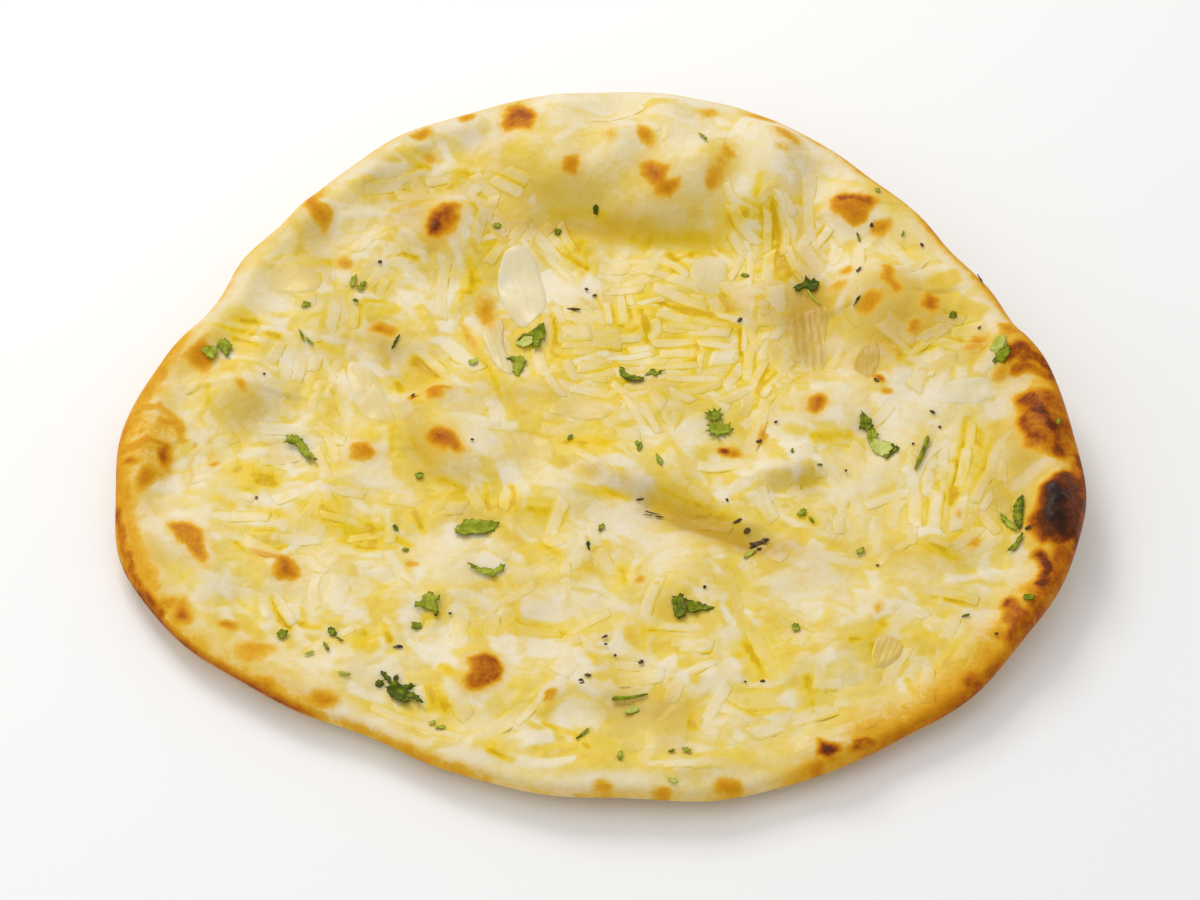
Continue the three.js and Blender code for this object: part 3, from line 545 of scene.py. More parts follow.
# Which way slivers lie: x, y, reach, degrees and how strictly.
sliverDrift = (
    (20, 38, 38, 2, 0.85), (64, 74, 18, 85, 0.8), (112, -35, 30, 72, 0.6), (60, -45, 30, -30, 0.5),
    (-90, -35, 30, -5, 0.6), (-90, 25, 22, 80, 0.6), (30, 60, 16, -12, 0.6), (105, 25, 20, 35, 0.6),
    (70, -110, 30, 20, 0.6), (-10, -130, 30, 5, 0.6), (-100, -80, 24, -40, 0.5), (0, -85, 24, -5, 0.5),
    (5, 5, 18, -5, 0.6), (90, -75, 24, -50, 0.4),
)

# The larger petals, as the frame has them: x, y, length, width and turn. The coriander: x, y and length.
petals = (
    (-25, 60, 34, 15, 97), (-34, 33, 27, 7.5, 108), (71, 38, 26, 13, 100), (90, 24, 16, 10, 80),
    (-74, 15, 24, 13, -65), (-5, 5, 21, 11, 170), (-23, -12, 20, 14, 70), (115, 6, 18, 12, 8),
    (85, -94, 16, 12, 60), (15, -124, 27, 21, 20), (36, 67, 20, 11, 65), (-100, 55, 21, 16, -20),
)
leaves = (
    (39, -1.5, 15), (70, 59, 12), (14, 21, 14), (-20, 37, 11), (-25.5, 24, 9), (-122.5, 25, 11),
    (-93, -13, 14), (-36, -45, 14), (-33, -61, 12), (-50, -75, 10), (-57, -106, 17), (29, -76.5, 14),
    (89, -8, 20), (102, -17, 13), (129.5, 17.5, 9), (128, -44, 13), (126.5, -55.5, 11), (10.5, -110, 13),
)


def draw(n, channel):  # repeatable draws from 0 to 1
    s = np.sin(n * 12.9898 + channel * 78.233) * 43758.5453
    return s - np.floor(s)


def nearLoosePiece(x, y, turn, length, width):
    dx, dy = length / 2 * math.cos(turn), length / 2 * math.sin(turn)
    reach = width / 2 + sliverRules["clearance"]
    for piece in petals + leaves:
        if lineDistance(piece[0], piece[1], x - dx, y - dy, x + dx, y + dy) < reach + piece[2] / 2:
            return True
    return False


def bakedSlivers():
    rule, kept = sliverRules["baked"], []
    first = rule["channel"]
    for n in range(rule["count"]):
        angle = n * goldenAngle + first
        r = rule["reach"] * math.sqrt((n + 0.5) / rule["count"]) * rimRadius(angle)
        x = r * math.cos(angle) + sliverRules["shake"] * (draw(n, first + 1) - 0.5)
        y = r * math.sin(angle) + sliverRules["shake"] * (draw(n, first + 2) - 0.5)
        length = between(rule["length"], draw(n, first + 3))
        turn = math.pi * draw(n, first + 4)
        width = between(rule["width"], draw(n, first + 5))
        bend = rule["bend"] * (2 * draw(n, first + 6) - 1)
        for _ in range(sliverRules["dodgeTries"]):
            if nearLoosePiece(x, y, turn, length, width):
                turn += math.radians(sliverRules["dodgeTurn"])
        clear = not nearLoosePiece(x, y, turn, length, width)
        if clear and bubbleRise(x, y) < sliverRules["bareRise"]:
            kept.append((x, y, length, width, turn, bend, -0.1 + 0.3 * draw(n, 17), draw(n, 18)))
    return np.array(kept)


def driftTurns(x, y, loose):  # the way that slivers lie, each loosened by its own draw
    guides = [
        (np.hypot(x - middleX, y - middleY) / reach, math.radians(degrees), strict)
        for middleX, middleY, reach, degrees, strict in sliverDrift
    ]
    for startX, startY, runX, runY, width, strength in rowsOf(butterAndShadeStreaks):
        away = lineDistance(x, y, startX, startY, startX + runX, startY + runY) / sliverRules["streakReach"]
        guides.append((away, math.atan2(runY, runX), sliverRules["streakPull"]))
    turn, hold = loose.copy(), 0 * x
    for away, heading, strict in guides:
        pull = strict * np.exp(-(away ** 2))
        off = (loose - heading + math.pi / 2) % math.pi - math.pi / 2
        turn = np.where(pull > hold, heading + off * (1 - pull), turn)
        hold = np.maximum(hold, pull)
    return turn


def scatterSlivers(rule):
    n, first = np.arange(rule["count"]), rule["channel"]
    angle = n * goldenAngle + first
    r = rule["reach"] * np.sqrt((n + 0.5) / rule["count"]) * rimRadius(angle)
    x = r * np.cos(angle) + sliverRules["shake"] * (draw(n, first + 1) - 0.5)
    y = r * np.sin(angle) + sliverRules["shake"] * (draw(n, first + 2) - 0.5)
    length = between(rule["length"], draw(n, first + 5) ** 1.3)
    width = between(rule["width"], draw(n, first + 6))
    bend = rule["bend"] * (2 * draw(n, first + 7) - 1)
    turn = driftTurns(x, y, math.pi * draw(n, first + 4))
    lift = -0.16 + 0.34 * draw(n, first + 8)
    keep = bareAt(x, y) < 0.15 + 0.7 * draw(n, first + 3)
    return np.stack([x, y, length, width, turn, bend, lift, draw(n, first + 9)], 1)[keep]


# Where slivers still stand out one by one: x, y, half length, half width and turn. Elsewhere most have
# melted in.
crispPlaces = (
    (18, 38, 42, 32, 0), (62, 74, 16, 20, 0), (-28, 88, 20, 16, -30), (112, -30, 14, 24, 10),
    (110, 28, 16, 10, 20), (55, 20, 14, 22, 0),
)


def crispAt(x, y):
    near = 9 + 0 * x
    for oval in crispPlaces:
        near = np.minimum(near, ovalDistance(x, y, *oval))
    return 1 - easeBetween(near, 0.7, 1.3)


def clearOfHeat(rows):
    x, y, length, turn = rows[:, 0], rows[:, 1], rows[:, 2], rows[:, 4]
    keep = np.full(len(rows), True)
    for end in (-0.45, 0, 0.45):
        ex, ey = x + end * length * np.cos(turn), y + end * length * np.sin(turn)
        keep &= (heatAt(ex, ey) < sliverRules["hottest"]) & (streakAt(ex, ey) < sliverRules["wettest"])
        for middleX, middleY, long, wide, turned in petals:
            keep &= ovalDistance(ex, ey, middleX, middleY, long / 2, wide / 2, turned) > 1
    return rows[keep]


def fillSlivers():
    rows = scatterSlivers(sliverRules["fill"])
    crisp = crispAt(rows[:, 0], rows[:, 1])
    rows[:, 6] -= 0.1 * (1 - crisp)
    shown = between((sliverRules["meltedShare"], 1), crisp)
    return clearOfHeat(rows[draw(np.arange(len(rows)), 50) < shown])


# Slivers that catch the eye: x, y, length, width, turn, lift, tone (0 is white, 1 yellow) and any bend.
chosenSlivers = (
    (-45, 31, 24, 7, -50, 0.15, 0, 0.1), (-81, 10, 22, 6, -75, 0.1, 0, 0.1),
    (97, 30.5, 15, 4, -50, 0.25, 0.15), (9, 51, 14, 3.6, 95, 0.2, 0.6),
    (4.2, 50, 14, 3.2, 97, 0.15, 0.3, 0.1), (9, 60, 15, 4.6, 0, 0.25, 0.4),
    (28, 56, 21, 5, -28, 0.2, 0.5, 0.1), (33, 61, 20, 5, -25, 0.12, 0.45),
    (20, 41, 9, 5, 80, 0.25, 0.3, 0.8), (25, 36, 14, 4.2, 3, 0.2, 0.55), (9, 38, 13, 4, 2, 0.15, 0.5),
    (11, 30, 17, 3.6, 8, 0.32, 0, 0.1), (27, 31, 13, 5, 0, 0.12, 0.5), (37, 40, 16, 5, -6, 0.2, 0.5, 0.1),
    (39, 34, 12, 4, -10, 0.15, 0.4), (42, 28.5, 10, 8, 10, 0.2, 0.1), (25, 25, 18, 4, 0, 0.2, 0.25, 0.1),
    (31, 19, 17, 4, 2, 0.15, 0.45), (34, 14, 16, 4, 20, 0.2, 0.6, 0.1), (20, 8, 9, 5.5, -60, 0.12, 0.6),
    (12.5, 4, 19, 3.2, -65, 0.3, 0.05), (17, 2, 17, 3, -65, 0.26, 0.1), (9, 13, 12, 4, -50, 0.2, 0.3),
    (25, 4, 13, 7.5, 70, 0.14, 0.1), (8, -5, 14, 7, -15, 0.16, 0.35), (-8, 22, 11, 4, -70, 0.2, 0.3),
    (-14, 17, 15, 3.6, -60, 0.2, 0.25), (-3, 14, 19, 5, -15, 0.2, 0.2), (-18, 26, 13, 5, -80, 0.14, 0.5),
    (-7, 39, 12, 9, 5, 0.14, 0.4), (-4, 46, 11, 5, 0, 0.2, 0.4), (50, 26, 17, 4, 85, 0.2, 0.4, 0.1),
    (55, 32, 15, 4, 80, 0.15, 0.3), (57.5, 16, 16, 3.6, 60, 0.26, 0.45), (52.5, 20, 15, 3.6, 66, 0.2, 0.5),
    (62, 12, 14, 4, 60, 0.16, 0.4), (46, 12, 13, 4, 35, 0.2, 0.5), (45, 20, 13, 4, 60, 0.14, 0.5),
    (60, 52, 16, 8, 88, 0.2, 0.1), (64, 78, 14, 4, 84, 0.2, 0.35), (58, 80, 14, 4, 88, 0.2, 0.3),
    (58, 68, 13, 5, 84, 0.12, 0.3), (72, 78, 13, 5, 55, 0.2, 0.15), (75, 75, 13, 4, 50, 0.26, 0.1),
    (48, 88, 16, 4.6, -40, 0.26, 0.15, 0.9), (50, 82, 16, 4.4, -50, 0.2, 0.25, 0.4),
    (27, 69, 13, 4.2, -45, 0.2, 0.4), (29, 76, 13, 4, 35, 0.2, 0.35), (22, 66, 10, 4, -20, 0.12, 0.5),
    (15, 69, 13, 5, -5, 0.12, 0.5), (-10, 83, 14, 4, -68, 0.25, 0.45, 0.1),
    (-17, 80, 17, 5, -55, 0.2, 0.35), (-27, 83, 12, 4.6, 60, 0.2, 0.4), (-33, 76, 14, 4, 62, 0.25, 0.35),
    (-39, 84, 15, 4, 80, 0.2, 0.4), (-43, 78, 13, 4, 84, 0.15, 0.4), (-36, 93, 13, 4, 75, 0.15, 0.4),
    (-27, 99, 22, 4, -32, 0.25, 0.3), (-30, 105, 18, 4, -35, 0.2, 0.35), (-60, 96, 18, 5.5, -8, 0.3, 0),
    (-64, 104, 16, 3.2, 30, 0.25, 0.25), (-74, 98, 18, 5, 25, 0.12, 0.4), (-51, 104, 15, 4, 8, 0.2, 0.3),
    (-66, 75, 12, 3, -55, 0.3, 0.5), (-62, 71, 13, 2.6, -12, 0.25, 0.3), (-72, 62, 12, 4, 55, 0.14, 0.4),
    (-71, 57, 10, 3.4, 70, 0.2, 0.5), (-79, 44, 12, 3.4, 88, 0.15, 0.6), (-86, 42, 13, 5, 84, 0.15, 0.1),
    (-97, 50, 14, 5, -40, 0.14, 0.4), (-95, 22, 15, 4, 80, 0.14, 0.5), (-100, 14, 14, 4, 84, 0.14, 0.5),
    (-106, 12, 13, 3.6, 86, 0.2, 0.35), (-90, 10, 14, 3.6, 82, 0.14, 0.5),
    (-84, 20, 12, 3.6, 78, 0.15, 0.4), (-104, 24, 13, 4, 70, 0.14, 0.5), (-99, -4, 16, 5, 10, 0.25, 0.05),
    (-107, -6, 14, 4.4, -38, 0.14, 0.5), (-86, -18, 16, 4, -70, 0.14, 0.5),
    (-83, -12, 17, 4, -72, 0.14, 0.35), (-80, -30, 18, 4.4, -5, 0.12, 0.5),
    (-78, -42, 15, 4, -12, 0.15, 0.55), (-70, -48, 13, 4, 15, 0.15, 0.5), (-92, -50, 17, 4, 0, 0.12, 0.35),
    (-58, -33, 14, 5, -10, 0.12, 0.6), (-46, -36, 13, 7, 0, 0.15, 0.45), (-37, -33, 10, 5, -60, 0.16, 0.4),
    (-28, -33, 10, 4.4, 84, 0.15, 0.3), (115, -24, 18, 4, 74, 0.2, 0.35, 0.2),
    (109, -20, 18, 4.2, 84, 0.15, 0.2), (118, -13, 18, 3.6, 80, 0.2, 0.5),
    (125, -19, 21, 4, 70, 0.2, 0.45, -0.5), (120, -31, 17, 4, 64, 0.15, 0.5, -0.2),
    (105, -40, 17, 5, 80, 0.14, 0.15), (112, -42, 14, 5.6, 80, 0.2, 0.05), (99, -38, 15, 5, 85, 0.12, 0.3),
    (92, -40, 15, 5, 80, 0.12, 0.3), (97, -48, 14, 4, 85, 0.15, 0.4), (103, -53, 13, 4, -30, 0.2, 0.4),
    (113, -52, 14, 5, 45, 0.16, 0.15), (104, 14, 13, 6, 70, 0.16, 0.15), (107, 27, 17, 4, 30, 0.2, 0.35),
    (112, 31, 18, 3.6, 26, 0.2, 0.45), (117, 24, 18, 4, -20, 0.15, 0.25), (124, 38, 14, 7, -70, 0.14, 0.2),
    (99, 32, 14, 5, -48, 0.3, 0.4), (96, 37, 11, 4, -55, 0.2, 0.6), (60, 44, 14, 7, -5, 0.16, 0.15),
    (84, 72, 12, 5, 84, 0.2, 0.1), (87, 62, 16, 5, 84, 0.2, 0.05), (100, 66, 14, 4.6, -60, 0.12, 0.3),
    (62, 26, 13, 6, 70, 0.12, 0.3), (28, -102, 18, 4, 40, 0.25, 0.05, -0.4),
    (24, -106, 14, 5, 70, 0.2, 0.05), (35, -113, 17, 4.6, 60, 0.15, 0.2), (47, -112, 16, 9, 5, 0.12, 0.3),
    (28, -84, 18, 4, 0, 0.15, 0.35, 0.2), (27, -91, 17, 7, -6, 0.14, 0.35),
    (60, -118, 34, 6, 22, 0.2, 0.05), (70, -124, 30, 5, 24, 0.15, 0.2), (88, -100, 16, 5, 60, 0.12, 0.2),
    (97, -106, 17, 5, 86, 0.2, 0.05), (104, -90, 18, 5, 62, 0.15, 0.4, 0.2),
    (110, -94, 17, 5, 55, 0.15, 0.25), (66, -102, 13, 5, 84, 0.14, 0.1),
    (-94, -76, 16, 4, -62, 0.2, 0.3, 0.1), (-85, -74, 18, 4.4, -82, 0.2, 0.15, 0.5),
    (-78, -72, 14, 9, 80, 0.14, 0.1), (-18, -84, 17, 5, -8, 0.14, 0.45), (-8, -98, 13, 9, 60, 0.14, 0.15),
    (12, -103, 18, 6, 5, 0.12, 0.7), (-56, -118, 22, 4.4, -28, 0.15, 0.2),
    (-46, -122, 20, 4, -26, 0.12, 0.3), (20, -136, 18, 4.4, 0, 0.2, 0.05), (36, -135, 20, 5, 8, 0.14, 0.4),
)


def layOut():
    chosen, baked = [], clearOfHeat(bakedSlivers())
    rest = np.concatenate([baked[bareAt(baked[:, 0], baked[:, 1]) < 0.6], fillSlivers()])
    near = 9 + 0 * rest[:, 0]
    for x, y, length, width, turn, lift, tone, *bend in chosenSlivers:
        chosen.append((x, y, length, width, math.radians(turn), *(bend or [0]), lift, tone))
        near = np.minimum(near, ovalDistance(rest[:, 0], rest[:, 1], x, y, length / 2, width / 2 + 0.8, turn))
    rows = np.concatenate([rest[near >= 1], chosen])
    x, y, length, turn = rows[:, 0], rows[:, 1], rows[:, 2], rows[:, 4]
    rows[:, 6] = sliverRules["liftShare"] * rows[:, 6] - sliverRules["sunk"]
    rows[:, 6] -= sliverRules["meltedSunk"] * (1 - crispAt(x, y))
    smooth = bareAt(x, y)
    for end in (-0.4, 0.4):
        bare = bareAt(x + end * length * np.cos(turn), y + end * length * np.sin(turn))
        smooth = np.maximum(smooth, bare - 0.15)
    return rows[smooth < sliverRules["barest"]]


slivers = layOut()
print("onion slivers laid:", len(slivers))


# Melted slivers and the butter along all slivers' edges, painted one over another on a grid of fine cells.
paint = {
    "cell": 0.5, "half": 158, "corner": 1.3, "soft": (-1.0, 0.5), "seam": 0.95,
    "thickness": (0.1, 0.36), "strength": (0.68, 1.0), "shift": 1.7,
}


# Creamier (above 0) or more golden (below 0) places, by amount: x, y, half length, half width and turn. Some
# creamier rows, on the front slopes of the bubbles at the back, are painted light where the lamps leave those
# slopes dim.
toneAndLightShifts = {
    0.7: ((-139.8, -19, 2, 4),),
    0.5: ((-84, -60, 9, 8), (-50, -54, 15, 7), (0, -74, 15, 4, 10), (137, 7, 9, 2.4, -20)),
    0.45: ((-36, -118, 9, 8), (82, -42, 6, 11), (-50, 119, 14, 6, 20), (75, 102, 14, 7, -45),
      (14, -29, 6, 6)),
    0.4: ((85, -23, 13, 6, -20), (-114, 46, 10, 12), (48, 123, 16, 8, -20), (-8, 58, 11, 6, 5),
      (30, 119, 8, 13), (88, -113, 11, 7, 30)),
    0.35: ((-100, -15, 6, 8), (-50, -67, 7, 7), (76, -75, 8, 12), (-7, -36, 6, 8), (-31, -14, 4, 13),
      (-54, 61, 12, 4), (-81, 86, 7, 9), (-125, -30, 14, 8, -20), (-70, -98, 13, 7), (-86, 46, 9, 8),
      (36, 95, 11, 7), (7, -98, 5, 5)),
    0.3: ((88, 4, 9, 12), (15, -34, 6, 5), (25, -58, 10, 8), (-133, 4, 5, 8, 20), (-65, -30, 9, 5),
      (40, -88, 8, 6), (75, -105, 7, 6), (38, -122, 9, 6), (-88, -75, 8, 8), (-38, 118, 7, 6),
      (10, -14, 5, 12), (70, -100, 8, 8), (40, -104, 8, 6), (-116, -44, 7, 7), (50, 83, 10, 7),
      (-90, 39, 8, 10), (-15, -98, 5, 4), (-97, -8, 5, 5), (-110, -60, 6, 9), (-42, 5, 5, 5),
      (-42, 89, 7, 5), (-113, 38, 5, 12, -25), (50, 82, 7, 6), (112, 21, 6, 7), (-134, -38, 5, 5),
      (27, -137, 6, 4), (-15, 131, 4, 7), (-76, 66, 5, 7), (-70, 82, 5, 4), (-86, 92, 6, 4),
      (-40, 57, 8, 6), (-21, 15, 5, 8), (5, 21, 4, 7), (77, 22, 4, 7), (82, 94, 5, 5), (-132, 2, 4, 9),
      (-97, -24, 6, 9), (-77, 0, 5, 5), (-15, -98, 4, 4), (42, -90, 4, 4), (114, -12, 3, 8, -15),
      (-118, -14, 4, 7, 20)),
    0.25: ((112, -3, 6, 9), (-40, 8, 7, 14), (-77, -2, 6, 6), (15, 78, 16, 4), (46, 78, 5, 8),
      (0, 50, 6, 7, -40), (20, -8, 4, 7), (120, -60, 9, 6), (80, 35, 4, 9), (-46, 44, 6, 12, 10),
      (-45, -92, 8, 8), (90, -70, 14, 8), (118, -70, 8, 8), (50, -124, 14, 5, 10), (62, 54, 10, 6),
      (92, 62, 6, 6), (115, -10, 5, 8), (-106, 20, 7, 5), (12, -15, 5, 10, -30), (83, -38, 6, 8),
      (0, -80, 7, 6), (42, -90, 8, 5), (-35, -124, 9, 5, 20), (-62, -103, 9, 4), (-87, 38, 6, 7),
      (32, 95, 6, 5), (70, 108, 5, 6), (78, 2, 8, 6), (60, 35, 5, 7), (76, -19, 5, 5), (55, -25, 6, 4),
      (116, -84, 6, 7), (-45, 29, 5, 8), (2, 47, 7, 5, -40), (112, 62, 6, 6), (115, -12, 4, 8),
      (-42, -58, 13, 8), (25, -61, 9, 8), (96, -64, 7, 9), (46, 78, 5, 5), (2, 49, 5, 6, 30),
      (45, -38, 7, 5, -30)),
    0.2: ((-45, 28, 6, 8), (-20, 18, 4, 6), (40, -8, 10, 6), (58, -18, 6, 9), (-117, -72, 6, 5),
      (105, 60, 8, 7), (-78, 78, 6, 10), (-80, -72, 10, 8), (-93, 12, 5, 8), (10, -50, 9, 5),
      (-60, -100, 16, 8), (-100, -18, 6, 7), (-75, -27, 9, 8), (103, -74, 4, 8), (65, -88, 7, 5),
      (90, 83, 5, 7), (100, -108, 9, 7, 40), (-116, -10, 5, 6), (84, 10, 4, 7), (60, 56, 5, 7),
      (-5, -38, 6, 5), (122, 41, 4, 7)),
    0.15: ((-30, -14, 4, 8),),
    0.14: ((96, -12, 15, 18),),
    0.1: ((102, 62, 6, 7),),
    -0.1: ((0, 139, 28, 5), (62, 99, 6, 7)),
    -0.12: ((-60, 75, 14, 10),),
    -0.15: ((67, -36, 7, 6), (100, -56, 12, 4), (-55, -14, 8, 7), (0, -64, 12, 4), (-32, -101, 9, 9),
      (62, -34, 6, 6), (-28, 22, 5, 6), (0, 9, 8, 4)),
    -0.18: ((-72, 112, 15, 6, 30),),
    -0.2: ((-5, 103, 14, 5), (22, 95, 12, 7), (-55, -3, 8, 10), (-25, 130, 5, 7), (98, 50, 6, 8),
      (-92, -43, 12, 4, 10), (-8, -60, 10, 5), (-20, -70, 8, 5), (90, -97, 8, 6), (28, -29, 5, 5),
      (-90, 76, 8, 8, -40), (70, 85, 5, 7), (-65, 38, 7, 6), (-103, 53, 8, 8), (108, 34, 7, 7),
      (-28, -60, 8, 5), (36, -72, 12, 4), (48, -58, 4, 6), (92, -78, 5, 5), (-100, 80, 9, 6, 42),
      (-30, 110, 8, 8), (-60, -37, 7, 5), (-60, -65, 6, 6), (-42, -99, 8, 6, -30), (12, 56, 7, 4),
      (16, 14, 6, 5), (-24, 8, 7, 4), (105, 33, 6, 5), (-17, -66, 10, 5), (-102, 50, 8, 5),
      (-85, -92, 8, 4)),
    -0.25: ((-30, 98, 8, 9), (-50, -8, 6, 12, 20), (-10, 36, 8, 11), (-45, -37, 8, 5), (-26, -36, 7, 5),
      (8, -132, 5, 9), (58, -99, 10, 5, 15), (-105, 31, 14, 3), (-10, 91, 8, 5), (43, 106, 5, 8),
      (6, 3, 6, 4), (20, 11, 12, 4), (36, 0, 6, 5), (-85, -13, 4, 7), (-28, 128, 5, 8), (8, 68, 6, 5),
      (98, 32, 9, 8), (47, 45, 6, 6), (-3, -8, 5, 5), (-100, 28, 7, 5), (9, -122, 5, 9),
      (-30, -138, 12, 4, -10), (-52, 15, 12, 4, -15), (-8, 38, 5, 10, -30), (-28, -34, 5, 8)),
    -0.3: ((108, 34, 6, 7), (-44, -20, 8, 5, -20), (18, 15, 11, 7, -20), (45, 7, 16, 4, -5), (64, 7, 7, 5),
      (120, -34, 8, 8), (-133, -59, 6, 6), (50, -57, 5, 6), (-28, 88, 9, 6), (-5, -4, 8, 4),
      (46, -137, 9, 4, 10), (-110, -9, 5, 9), (28, -20, 6, 8), (20, 12, 9, 6), (60, -100, 9, 5),
      (100, 86, 5, 9, 30)),
    -0.35: ((-28, 110, 6, 6), (0, 96, 34, 6, -6), (43, 103, 5, 11), (-62, 38, 9, 5), (-56, 16, 9, 8),
      (103, 42, 9, 13, 30), (8, -114, 8, 6), (-42, 38, 3, 8, 15), (-130, -23, 6, 6), (-89, -45, 6, 4),
      (67, 85, 8, 5)),
    -0.4: ((9, -116, 5, 7), (-2, -23, 4, 4)),
    -0.5: ((98, 88, 6, 14, 38),),
}
# Painted shade: olive and darker where shade falls in hollows, furrows, beside petals and at the foot of
# bubbles, by amount: x, y, half length, half width and turn.
paintedShadePlaces = {
    1: ((38, -44, 20, 4.5, -32),),
    0.7: ((68, 44, 9, 14, 10),),
    0.66: ((-63, 87, 8, 10, 30),),
    0.6: ((98, 44, 10, 10, 30), (-2, 87, 27, 4, -6), (72, 53, 5, 5), (30, -42, 10, 3.5, -25)),
    0.55: ((65, -28, 5, 4, 20),),
    0.5: ((56, -52, 8, 3.5, -10), (-134, -60, 9, 5, -50), (-52, -15, 5, 7, 20)),
    0.45: ((92, 26, 8, 8), (-59, -5, 4, 10, 8)),
    0.42: ((-57, 22, 6, 8),),
    0.4: ((108, 36, 8, 7), (-70, 35, 12, 5, 5), (70, 49, 5, 7), (0, -22, 4, 4)),
    0.35: ((70, 75, 6, 14), (-22, 12, 12, 5), (-26, 86, 10, 5), (-28, 45, 4, 9, -20), (-92, 68, 7, 12, 10),
      (-54, 102, 12, 6), (125, -36, 6, 9), (-38, -38, 10, 4, -10), (-122, -60, 7, 4, -30), (5, 89, 7, 4)),
    0.3: ((134, -26, 6, 14), (127, -12, 6, 10), (92, 24, 7, 8), (-44, -26, 5, 4, -20), (-33, 114, 6, 6),
      (134, -15, 4, 12)),
    0.25: ((45, 52, 10, 8), (-20, -80, 6, 10), (14, -114, 12, 6), (90, -56, 14, 6), (112, -56, 8, 6),
      (18, 15, 10, 7, -20), (85, -92, 10, 5), (46, 50, 8, 8)),
    0.24: ((-110, 1, 7, 6, -40),),
    0.2: ((20, -78, 10, 5), (25, -124, 8, 8), (10, -114, 12, 6), (-80, 30, 6, 6)),
    0.12: ((2, 122, 30, 6),),
}


def sumPlaces(x, y, groups):
    total = 0 * x
    for *oval, amount in rowsOf(groups):
        total = total + amount * np.exp(-(ovalDistance(x, y, *oval) / 1.15) ** 2)
    return total


def creamGround(x, y):
    return 0.3 + 0.5 * bareAt(x, y) + 1.2 * (softPattern(x, y, 12, 16) - 0.5)


def boxDistance(along, across, halfLength, halfWidth):  # to a rounded rectangle; less than 0 is inside
    corner = np.minimum(paint["corner"], halfWidth * 0.8)
    u, v = np.abs(along) - halfLength + corner, np.abs(across) - halfWidth + corner
    return np.hypot(np.maximum(u, 0), np.maximum(v, 0)) + np.minimum(np.maximum(u, v), 0) - corner


def paintSlivers():
    ticks = np.arange(-paint["half"], paint["half"], paint["cell"]) + paint["cell"] / 2
    gx, gy = np.meshgrid(ticks, ticks, indexing="ij")
    layers = {"cream": creamGround(gx, gy), "height": 0 * gx, "seam": 0 * gx}
    melted = scatterSlivers(sliverRules["melted"])
    for n, (x, y, length, width, turn, bend, lift, tone) in enumerate(np.concatenate([melted, slivers])):
        reach = length / 2 + 4
        i0, i1 = np.searchsorted(ticks, (x - reach, x + reach))
        j0, j1 = np.searchsorted(ticks, (y - reach, y + reach))
        along, across = alongAcross(gx[i0:i1, j0:j1], gy[i0:i1, j0:j1], x, y, math.degrees(turn))
        across = across - bend * along ** 2 / length
        along = along + 0.5 * across * math.cos(n * goldenAngle)
        away = boxDistance(along, across, length / 2, width / 2)
        inside = 1 - easeBetween(away, *paint["soft"])
        part = {key: layer[i0:i1, j0:j1] for key, layer in layers.items()}
        aside = np.clip(across / width * 2, -1, 1)
        # seam: butter along a side of each sliver, also standing in for the warm shade at its edge
        side = 0.55 + 0.45 * aside * (1 if draw(n, 71) > 0.3 else -1)
        seam = np.exp(-((away - 0.5) / paint["seam"]) ** 2) * side * between((0.25, 1), draw(n, 72))
        part["seam"][:] = np.maximum(part["seam"] * (1 - 0.85 * inside), seam)
        if n >= len(melted):  # a sliver of the mesh lies here; the skin below it stays low
            part["height"][:] = part["height"] * (1 - 0.8 * inside) + 0.08 * inside
            continue
        strength = between(paint["strength"], draw(n, 73)) * inside
        crown = between(paint["thickness"], draw(n, 74)) * (1 - 0.3 * aside ** 2)
        own = 1.36 * easeBetween(1 - tone, 0.1, 0.9) - 0.16
        part["cream"][:] = part["cream"] * (1 - strength) + (part["cream"] * 0.3 + 0.7 * own) * strength
        part["height"][:] = part["height"] * (1 - inside) + (0.4 * part["height"] + crown) * inside
    return layers


painted = paintSlivers()


def paintedAt(key, x, y):
    cell, half = paint["cell"], paint["half"]
    layer = painted[key]
    u = np.clip((x + half) / cell - 0.5, 0, layer.shape[0] - 2)
    v = np.clip((y + half) / cell - 0.5, 0, layer.shape[1] - 2)
    i, j = np.floor(u).astype(int), np.floor(v).astype(int)
    fu, fv = u - i, v - j
    low = layer[i, j] * (1 - fu) + layer[i + 1, j] * fu
    high = layer[i, j + 1] * (1 - fu) + layer[i + 1, j + 1] * fu
    return low * (1 - fv) + high * fv


# The skin's fine relief over the solid's form. It stays calm on the smooth places and at the rim.
skinRelief = {"lump": 0.6, "lumpCell": 9, "grain": 0.16, "grainCell": 3.2, "calm": 0.15, "seam": 0.08}


def reliefAt(x, y):
    bare = bareAt(x, y)
    rough = skinRelief["calm"] + (1 - skinRelief["calm"]) * (1 - bare)
    lumps = skinRelief["lump"] * (softPattern(x, y, skinRelief["lumpCell"], 8) - 0.5) * 2
    grain = skinRelief["grain"] * (softPattern(x, y, skinRelief["grainCell"], 9) - 0.5) * 2
    pieces = paintedAt("height", x, y) - skinRelief["seam"] * paintedAt("seam", x, y)
    ease = easeBetween(insetOf(x, y), 0, 9)
    blister = 1.2 * np.clip(heatAt(x, y) - 0.7, 0, 1) * (softPattern(x, y, 3.6, 11) - 0.35)
    return (lumps + grain + pieces) * rough * ease + blister


def skinHeight(x, y):
    return topHeight(x, y) + reliefAt(x, y)


# The bread's mesh: rings of 6, 12, 18 ... points from the middle out, a rounded rim, and coarser rings below.
breadMesh = {"topRings": 168, "bottomRings": 46, "roundingSteps": 3}


def stitchGrowing(faces, inner, outer, k):
    for sector in range(6):
        a, b = sector * k, sector * (k + 1)
        for i in range(k + 1):
            p = inner + (a + i) % (6 * k) if k else inner
            q = inner + (a + i + 1) % (6 * k) if k else inner
            o0, o1 = outer + b + i, outer + (b + i + 1) % (6 * (k + 1))
            faces.append((p, o0, o1))
            if i < k:
                faces.append((p, o1, q))


